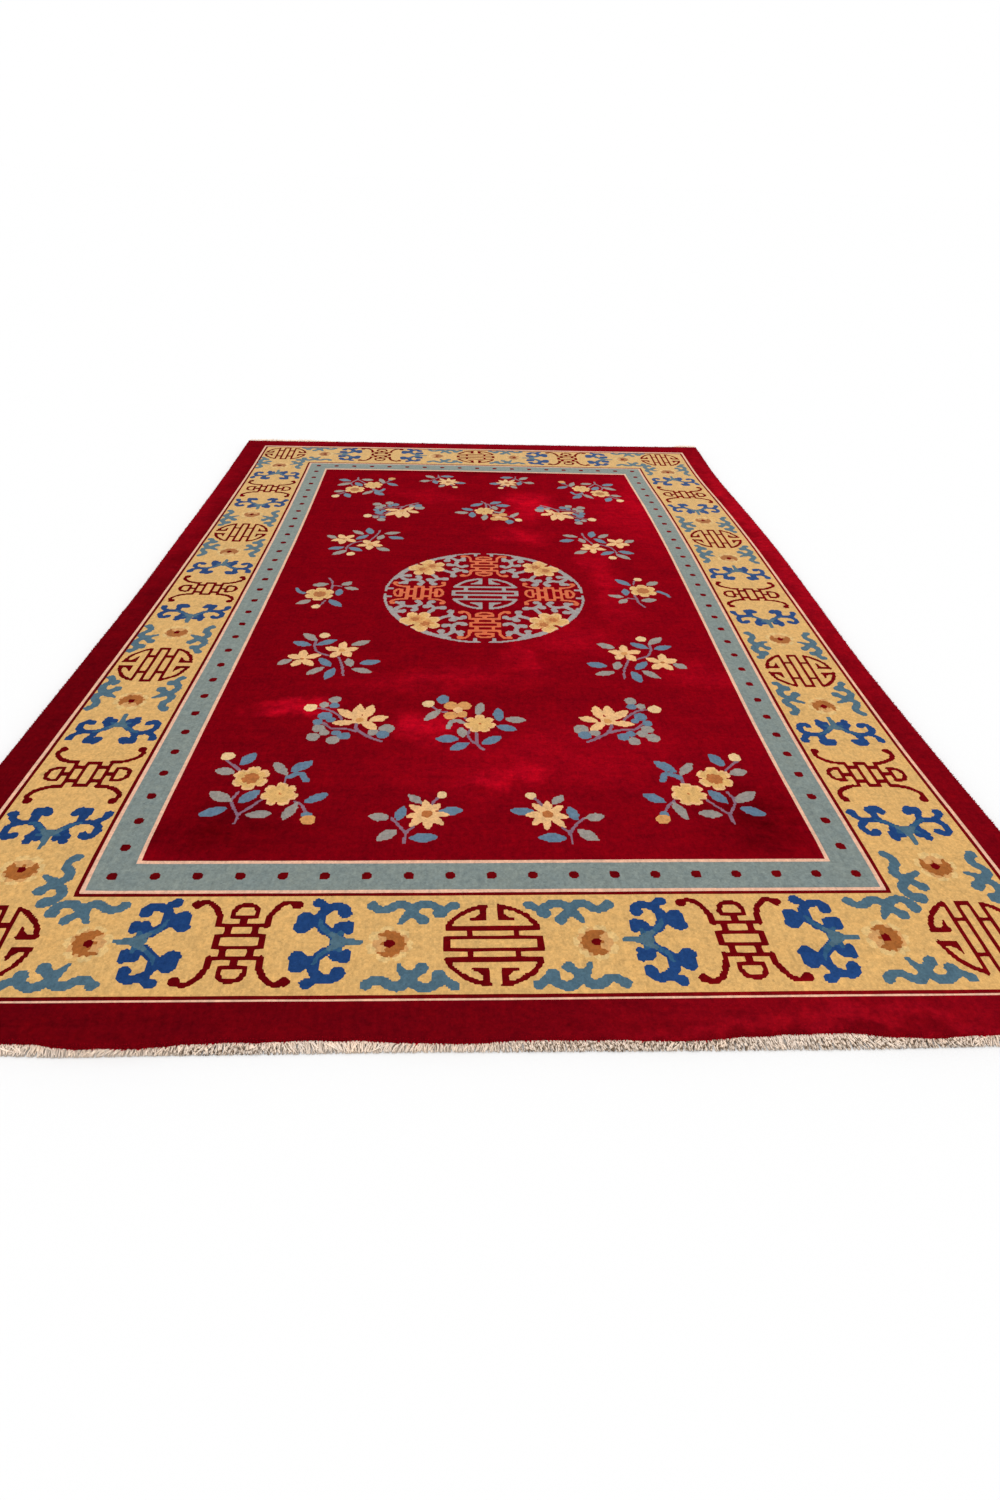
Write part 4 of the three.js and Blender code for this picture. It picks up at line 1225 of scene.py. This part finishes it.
def finish_named(name, roughness=1.0, specular=0.0):
    """An empty node material with its shader and its wiring."""
    material = bpy.data.materials.new(name)
    material.use_nodes = True
    material.node_tree.nodes.clear()
    wires = Wiring(material.node_tree)
    shader = wires.node("ShaderNodeBsdfPrincipled")
    shader.inputs["Roughness"].default_value = roughness
    shader.inputs["Specular IOR Level"].default_value = specular
    wires.node("ShaderNodeOutputMaterial", {"Surface": shader.outputs[0]})
    return material, wires, shader


def knotted(wires):
    """The yarn's colour and the place in knots at each point of the pile."""
    dyed = wires.node("ShaderNodeAttribute", attribute_name="yarn").outputs["Color"]
    return dyed, wires.node("ShaderNodeUVMap", uv_map="knots").outputs[0]


def wool_finish(grain, brushed_sheen):
    """Clipped wool: dyed knots, painted nap sheen most in the deep reds, painted grazing sheen and shade."""
    material, wires, shader = finish_named("clipped_wool")
    dyed, knots = knotted(wires)
    place = wires.node("ShaderNodeTexCoord").outputs["Object"]
    green = wires.node("ShaderNodeSeparateColor", {0: dyed}).outputs["Green"]
    deep = wires.between(green, *DEEP_TO_PALE, 1.0, PALE_NAP)
    abrash = wires.sum((deep, WOOL_ABRASH[1]), (1.0, WOOL_ABRASH[0]))
    wool = wires.group(grain, {"Colour": dyed, "Knots": knots, "Abrash": abrash, **WOOL_GRAIN})
    # painted sheen of grazing light, paler toward the far end, none on the deep reds
    farther = wires.between(wires.split(place)["Y"], *SHEEN_ALONG, 0.0, FAR_SHEEN_SHARE)
    sheen_paled = wires.math("MULTIPLY", farther, wires.sum((deep, -1.1), (1.0, 1.1)))
    sheen_paled = wires.mixed(sheen_paled, wool["Colour"], (*SHEEN_TONE, 1.0))
    # painted nap sheen, shown most in the deep reds
    lightness = wires.group(brushed_sheen, {"Place": place})["Lightness"]
    amount = wires.sum((wires.sum((lightness, 1.0), (-1.0, 1.0)), deep), (1.0, 1.0))
    # even painted shade of the pile's depth
    amount = wires.math("MULTIPLY", amount, PILE_SELF_SHADE)
    wires.link(wires.scaled(sheen_paled, amount), shader.inputs["Base Color"])
    wires.bump(shader, wool["Height"], *PILE_BUMP)
    return material


def back_finish(grain):
    """The knotted back: rows of knot backs in their yarns, crossed by pale cotton."""
    material, wires, shader = finish_named("knotted_back", 0.92, 0.15)
    dyed, knots = knotted(wires)
    wool = wires.group(grain, {"Colour": dyed, "Knots": knots, **BACK_GRAIN})
    split = wires.split(knots)
    row, column = (wires.math("PINGPONG", split[axis], 0.5) for axis in ("Y", "X"))
    weft = wires.between(row, 0.0, 0.16, 0.55, 0.0)
    wires.link(wires.mixed(weft, wool["Colour"], (*COTTON, 1.0)), shader.inputs["Base Color"])
    across, along = wires.between(column, 0.02, 0.3, 0.3, 1.0), wires.between(row, 0.05, 0.4, 0.0, 1.0)
    height = wires.sum((wool["Grain"], 0.2), (wires.math("MULTIPLY", across, along), 1.0))
    wires.bump(shader, height, *BACK_BUMP)
    return material


def tuft_finish(grain):
    """Loose wool ends of the outer band, made brighter than the pile with painted light, most at their foot.
    """
    material, wires, shader = finish_named("wool_ends")
    place, knots = wires.place_and_knots()
    colour = (*linear(bpy.context.scene.rug_yarns.outer_red), 1.0)
    wool = wires.group(grain, {"Colour": colour, "Knots": knots, **TUFT_GRAIN})
    # painted light: brighter toward the tufts' foot
    lit = wires.between(wires.split(place)["Z"], 0.001, PILE_TOP / 1000, *TUFTS_LIT)
    wires.link(wires.scaled(wool["Colour"], lit), shader.inputs["Base Color"])
    return material


def cotton_finish(grain):
    """Plied cotton warp ends, soiled in patches, with painted shade on the low strands near the floor."""
    material, wires, shader = finish_named("cotton_warp", 0.95, 0.05)
    place, knots = wires.place_and_knots()
    warp = wires.group(grain, {"Colour": (*COTTON, 1.0), "Knots": knots, **COTTON_GRAIN})
    specks = wires.noise(wires.stretched(place, 260.0, 200.0), 1.0, 3.0, 0.6)
    specks = wires.between(specks, 0.49, 0.58, 0.0, 1.0)
    split = wires.split(place)
    worn = SOILED_ALL_OVER
    for start, stop in SOILED_SPANS:
        rising = wires.between(split["X"], start - SOIL_FADES, start + SOIL_FADES, 0.0, 1.0)
        falling = wires.between(split["X"], stop - SOIL_FADES, stop + SOIL_FADES, 1.0, 0.0)
        worn = wires.math("ADD", worn, wires.math("MULTIPLY", rising, falling))
    outward = wires.between(wires.math("ABSOLUTE", split["Y"]), *SOILED_FROM, 0.15, 1.0)
    amount = wires.math("MULTIPLY", wires.math("MULTIPLY", specks, outward), worn)
    soiled = wires.mixed(amount, warp["Colour"], (*SOILED_COTTON, 1.0))
    # painted shade: the low strands are darker, the high ones lighter
    lit = wires.between(split["Z"], *COTTON_LIT)
    wires.link(wires.scaled(soiled, lit), shader.inputs["Base Color"])
    return material


def finishes():
    """The rug's materials by name, made once."""
    if "clipped_wool" not in bpy.data.materials:
        grain = wool_grain_group()
        wool_finish(grain, brushed_sheen_group())
        back_finish(grain)
        tuft_finish(grain)
        cotton_finish(grain)
    return bpy.data.materials


def show(name, mesh):
    """A piece of the rug in the scene."""
    piece = bpy.data.objects.new(name, mesh)
    bpy.context.scene.collection.objects.link(piece)
    return piece


def geometry_tree(name, inputs):
    """An empty geometry tree with a mesh and named sizes going in and a mesh coming out."""
    tree = bpy.data.node_groups.new(name, "GeometryNodeTree")
    tree.interface.new_socket("Geometry", in_out="INPUT", socket_type="NodeSocketGeometry")
    for socket, kind in inputs.items():
        tree.interface.new_socket(socket, in_out="INPUT", socket_type=kind)
    tree.interface.new_socket("Geometry", in_out="OUTPUT", socket_type="NodeSocketGeometry")
    wires = Wiring(tree)
    return tree, wires, wires.node("NodeGroupInput").outputs, wires.node("NodeGroupOutput").inputs


def grown(piece, tree, values):
    """The plain mesh that a geometry tree makes from a piece, which takes the piece's place."""
    grower = piece.modifiers.new(tree.name, "NODES")
    grower.node_group = tree
    for socket in tree.interface.items_tree:
        if socket.item_type == "SOCKET" and socket.in_out == "INPUT" and socket.name in values:
            grower[socket.identifier] = values[socket.name]
    depsgraph = bpy.context.evaluated_depsgraph_get()
    mesh = bpy.data.meshes.new_from_object(piece.evaluated_get(depsgraph), depsgraph=depsgraph)
    piece.modifiers.remove(grower)
    piece.data = mesh
    mesh.name = piece.name
    return piece


def random_value(wires, low, high, seed):
    """A value that differs from one instance to the next."""
    inputs = {2: low, 3: high, "Seed": seed}
    return wires.node("FunctionNodeRandomValue", inputs, data_type="FLOAT").outputs[1]


def trait(wires, name, kind):
    """A value or a vector that the roots carry."""
    return wires.node("GeometryNodeInputNamedAttribute", {"Name": name}, data_type=kind).outputs[0]


def planted(wires, given, inputs, material, results):
    """Set an instance at each root, and put the real pieces out, smooth and in their material."""
    roots = wires.node("GeometryNodeMeshToPoints", {"Mesh": given["Geometry"]}).outputs[0]
    set_out = wires.node("GeometryNodeInstanceOnPoints", {"Points": roots, **inputs}).outputs[0]
    real = wires.node("GeometryNodeRealizeInstances", {0: set_out}).outputs[0]
    rounded = wires.node("GeometryNodeSetShadeSmooth", {"Geometry": real}).outputs[0]
    dyed = wires.node("GeometryNodeSetMaterial", {"Geometry": rounded, "Material": material})
    wires.link(dyed.outputs[0], results[0])


def fringe_tree():
    """A bent, tapering strand at each root, out to the cut line, each layer on the one below."""
    tree, wires, given, results = geometry_tree("Cut fringe", {
        "Strand width": "NodeSocketFloat", "Seed": "NodeSocketInt", "Cotton": "NodeSocketMaterial"})
    shape = wires.node("GeometryNodeCurvePrimitiveCircle", {"Resolution": 4, "Radius": 0.5}).outputs[0]
    strands = wires.node("GeometryNodeJoinGeometry")
    for turns, sway, lift, tip in STRAND_BENDS:
        inputs = {"Start": (0, 0, 0), "End": (0, STRAND_ASPECT, 0)}
        line = wires.node("GeometryNodeCurvePrimitiveLine", inputs).outputs[0]
        line = wires.node("GeometryNodeResampleCurve", {"Curve": line, "Count": 6}).outputs[0]
        share = wires.node("GeometryNodeSplineParameter").outputs["Factor"]
        wave = wires.math("SINE", wires.math("MULTIPLY", share, turns))
        aside = wires.math("MULTIPLY", wires.math("MULTIPLY", wave, share), sway)
        rise = wires.math("MULTIPLY", wires.math("POWER", share, 2.0), lift)
        offset = wires.node("ShaderNodeCombineXYZ", {"X": aside, "Z": rise}).outputs[0]
        line = wires.node("GeometryNodeSetPosition", {"Geometry": line, "Offset": offset}).outputs[0]
        slim_root = wires.between(share, 0.0, 0.3, 0.8, 1.0)
        radius = wires.math("MULTIPLY", slim_root, wires.between(share, 0.7, 1.0, 1.0, tip))
        inputs = {"Curve": line, "Profile Curve": shape, "Scale": radius, "Fill Caps": True}
        body = wires.node("GeometryNodeCurveToMesh", inputs).outputs[0]
        made = wires.node("GeometryNodeGeometryToInstance", {"Geometry": body}).outputs[0]
        wires.link(made, strands.inputs[0])
    width = wires.math("MULTIPLY", random_value(wires, 0.75, 1.25, given["Seed"]), given["Strand width"])
    long = wires.math("DIVIDE", trait(wires, "reach", "FLOAT"), STRAND_ASPECT)
    thick = wires.math("MULTIPLY", given["Strand width"], STRAND_FLATNESS)
    scale = wires.node("ShaderNodeCombineXYZ", {"X": width, "Y": long, "Z": thick}).outputs[0]
    inputs = {4: 0, 5: len(STRAND_BENDS) - 1, "Seed": given["Seed"]}
    pick = wires.node("FunctionNodeRandomValue", inputs, data_type="INT").outputs[2]
    planted(wires, given, {
        "Instance": strands.outputs[0], "Pick Instance": True, "Instance Index": pick, "Scale": scale,
        "Rotation": trait(wires, "lean", "FLOAT_VECTOR")}, given["Cotton"], results)
    return tree


def tuft_tree():
    """Small wool ends that stand out of the sheared side at each point."""
    tree, wires, given, results = geometry_tree("Wool tufts", {
        "Length": "NodeSocketFloat", "Width": "NodeSocketFloat", "Seed": "NodeSocketInt",
        "Wool": "NodeSocketMaterial"})
    inputs = {"Vertices": 4, "Radius Top": 0.2, "Radius Bottom": 0.5, "Depth": 1.0}
    tuft = wires.node("GeometryNodeMeshCone", inputs).outputs[0]
    inputs = {"Vector": trait(wires, "facing", "FLOAT_VECTOR")}
    turn = wires.node("FunctionNodeAlignRotationToVector", inputs, axis="Z").outputs[0]
    long = wires.math("MULTIPLY", random_value(wires, 0.55, 1.2, given["Seed"]), given["Length"])
    inputs = {"X": given["Width"], "Y": given["Width"], "Z": long}
    size = wires.node("ShaderNodeCombineXYZ", inputs).outputs[0]
    inputs = {"Instance": tuft, "Rotation": turn, "Scale": size}
    planted(wires, given, inputs, given["Wool"], results)
    return tree


def root_mesh(name, points, traits):
    """Loose points, with a value or a vector of each trait at each."""
    mesh = bpy.data.meshes.new(name)
    mesh.from_pydata(points.tolist(), [], [])
    for carried, values in traits.items():
        kind, field = ("FLOAT_VECTOR", "vector") if values.ndim == 2 else ("FLOAT", "value")
        attribute = mesh.attributes.new(carried, kind, "POINT")
        attribute.data.foreach_set(field, values.ravel().astype(np.float32))
    return mesh


def fringe_roots(name, end, sizes):
    """The roots of an end's strands in layers, with each one's reach to the cut line and its lean."""
    random = np.random.default_rng(sizes.fringe_seed + end)
    left, right = FRINGE_CUT[end]
    places, reaches, leans = [], [], []
    for share, height, shortest, longest, splay, tilt in FRINGE_LAYERS:
        n = int(share * sizes.strands)
        u = np.linspace(ROOT_INSET - HALF_ACROSS, HALF_ACROSS - ROOT_INSET, n) + random.uniform(-0.7, 0.7, n)
        x, y = woven_mm(u, end * (HALF_ALONG + edge_reach(u, end) - ROOT_DEPTH))
        trim = np.interp(u, *zip(*NEAR_TRIM)) if end < 0 else FAR_TRIM
        cut = left + (right - left) * (u + HALF_ACROSS) / (2 * HALF_ACROSS) - trim
        lean = random.normal(0, 1, n) + 1.6 * np.sin(u / 61) + 1.2 * np.sin(u / 23 + 2 * np.sin(u / 97))
        lean *= splay * np.clip((HALF_ACROSS - SIDE_MARGIN - np.abs(u)) / SIDE_STRAIGHT, 0, 1)
        reach = (cut - end * y) * random.uniform(shortest, longest, n) / np.cos(lean)
        rise = random.uniform(0, tilt, n)
        if end > 0:
            for start, over, most in RAISED_ENDS:
                rise = np.maximum(rise, most * np.clip((u - start) / over, 0, 1) * random.uniform(0.75, 1, n))
        places.append(np.column_stack([x / 1000 + SHIFT[0], y / 1000 + SHIFT[1], np.full(n, height)]))
        reaches.append(reach / 1000)
        leans.append(np.column_stack([rise, np.zeros(n), lean if end > 0 else math.pi + lean]))
    return root_mesh(name, np.vstack(places), {"reach": np.hstack(reaches), "lean": np.vstack(leans)})


def tuft_roots(name, sizes):
    """The roots of the wool ends on the sheared sides, row by row, with the way that each one faces."""
    random = np.random.default_rng(sizes.tuft_seed)
    points, facings = [], []
    for inset, share, outward, upward in TUFT_ROWS:
        for on_side, steps in ((False, KNOTS_ACROSS), (True, KNOTS_ALONG)):
            long, far = (HALF_ALONG, HALF_ACROSS) if on_side else (HALF_ACROSS, HALF_ALONG)
            for side in (-1, 1):
                along = np.linspace(SIDE_MARGIN - long, long - SIDE_MARGIN, steps)
                along = along + random.uniform(-1.5, 1.5, steps)
                out = side * (far - inset + random.uniform(-0.8, 0.8, steps))
                u, v = (out, along) if on_side else (along, out + side * edge_reach(along, side))
                rise = (share + random.uniform(-0.07, 0.07, steps)) * pile_height(u, v)
                points.append(np.column_stack([*woven(u, v), rise]))
                facing = [side * outward, 0, upward] if on_side else [0, side * outward, upward]
                facings.append(np.tile(facing, (steps, 1)) + random.normal(0, 0.2, (steps, 3)))
    return root_mesh(name, np.vstack(points), {"facing": np.vstack(facings)})


class RUG_OT_weave_pile(bpy.types.Operator):
    """Knot the wool pile from its chart, with its sheared sides and its knotted back"""

    bl_idname = "rug.weave_pile"
    bl_label = "Weave the Pile"

    def execute(self, context):
        mesh = pile_mesh(draw_chart())
        mesh.materials.append(finishes()["clipped_wool"])
        mesh.materials.append(finishes()["knotted_back"])
        pile = show("wool_pile", mesh)
        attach(pile, "root")
        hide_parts("pile_carpet")
        return {"FINISHED"}


class RUG_OT_raise_tufts(bpy.types.Operator):
    """Raise small wool ends along the sheared sides of the pile"""

    bl_idname = "rug.raise_tufts"
    bl_label = "Raise the Edge Tufts"

    def execute(self, context):
        sizes = context.scene.rug_sizes
        tufts = grown(show("edge_tufts", tuft_roots("edge_tufts", sizes)), tuft_tree(), {
            "Length": sizes.tuft_length, "Width": sizes.tuft_width, "Seed": sizes.tuft_seed,
            "Wool": finishes()["wool_ends"]})
        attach(tufts, "root")
        return {"FINISHED"}


class RUG_OT_cut_fringes(bpy.types.Operator):
    """Lay the cut cotton warps of both ends, layer on layer"""

    bl_idname = "rug.cut_fringes"
    bl_label = "Cut the Fringes"

    def execute(self, context):
        sizes = context.scene.rug_sizes
        tree = fringe_tree()
        for name, end in (("near", -1), ("far", 1)):
            roots = fringe_roots(f"fringe_{name}_cut", end, sizes)
            fringe = grown(show(roots.name, roots), tree, {
                "Strand width": sizes.strand_width, "Seed": sizes.fringe_seed,
                "Cotton": finishes()["cotton_warp"]})
            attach(fringe, "root")
            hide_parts(f"fringe_{name}")
        return {"FINISHED"}


def pale_floor(drop):
    """A wide plain floor, this far under the rug's back."""
    x, z = FLOOR_REACH, -drop
    floor = bpy.data.meshes.new("floor")
    floor.from_pydata([(-x, -x, z), (x, -x, z), (x, x, z), (-x, x, z)], [], [(0, 1, 2, 3)])
    material, _, shader = finish_named("pale_floor")
    shader.inputs["Base Color"].default_value = (*[FLOOR_TONE] * 3, 1.0)
    floor.materials.append(material)
    return show("floor", floor)


def soft_light(scene):
    """Even light from all sides and a soft key light."""
    scene.world = bpy.data.worlds.new("soft_light")
    scene.world.use_nodes = True
    background = scene.world.node_tree.nodes["Background"]
    background.inputs["Color"].default_value = (1.0, 1.0, 1.0, 1.0)
    background.inputs["Strength"].default_value = WORLD_LIGHT
    lamp = bpy.data.lights.new("soft_key", "SUN")
    lamp.energy = KEY_LIGHT
    lamp.angle = math.radians(KEY_SOFTNESS)
    show("soft_key", lamp).rotation_euler = Vector(KEY_FROM).to_track_quat("Z", "Y").to_euler()


def camera_place():
    """Where the camera stands and how it is turned, as a matrix."""
    pitch, yaw, roll = (math.radians(CAMERA[name]) for name in ("pitch", "yaw", "roll"))
    forward = Vector((math.sin(yaw) * math.cos(pitch), math.cos(yaw) * math.cos(pitch), -math.sin(pitch)))
    right = Vector((math.cos(yaw), -math.sin(yaw), 0))
    up = right.cross(forward)
    tilted_right = math.cos(roll) * right + math.sin(roll) * up
    tilted_up = math.cos(roll) * up - math.sin(roll) * right
    turn = Matrix((tilted_right, tilted_up, -forward)).transposed().to_4x4()
    x, y, z = CAMERA["place"]
    return Matrix.Translation((x / 1000 + SHIFT[0], y / 1000 + SHIFT[1], z / 1000)) @ turn


class RUG_OT_set_stage(bpy.types.Operator):
    """Set the pale floor, the soft light and the camera"""

    bl_idname = "rug.set_stage"
    bl_label = "Set the Stage"

    def execute(self, context):
        scene = context.scene
        pale_floor(scene.rug_sizes.floor_drop)
        soft_light(scene)
        scene.view_settings.view_transform = "Standard"
        lens = bpy.data.cameras.new("camera")
        lens.sensor_width = SENSOR
        lens.lens = CAMERA["focal"] / PICTURE_HEIGHT * SENSOR
        lens.clip_start = 0.05
        lens.clip_end = 200
        scene.camera = show("camera", lens)
        scene.camera.matrix_world = camera_place()
        return {"FINISHED"}


class RUG_PT_sidebar(bpy.types.Panel):
    """The rug's pieces, sizes and yarns"""

    bl_idname = "RUG_PT_sidebar"
    bl_label = "Knotted Rug"
    bl_space_type = "VIEW_3D"
    bl_region_type = "UI"
    bl_category = "Rug"

    def draw(self, context):
        for step in STEPS:
            self.layout.operator(step.bl_idname)
        for group in (context.scene.rug_sizes, context.scene.rug_yarns):
            box = self.layout.box()
            for name in group.__annotations__:
                box.prop(group, name)


STEPS = (RUG_OT_weave_pile, RUG_OT_raise_tufts, RUG_OT_cut_fringes, RUG_OT_set_stage)
CLASSES = (RugYarns, RugSizes, *STEPS, RUG_PT_sidebar)


def register():
    for kind in CLASSES:
        bpy.utils.register_class(kind)
    bpy.types.Scene.rug_yarns = bpy.props.PointerProperty(type=RugYarns)
    bpy.types.Scene.rug_sizes = bpy.props.PointerProperty(type=RugSizes)


def unregister():
    del bpy.types.Scene.rug_sizes
    del bpy.types.Scene.rug_yarns
    for kind in reversed(CLASSES):
        bpy.utils.unregister_class(kind)


def main():
    register()
    for step in STEPS:
        area, name = step.bl_idname.split(".")
        getattr(getattr(bpy.ops, area), name)()


if __name__ == "__main__":
    main()
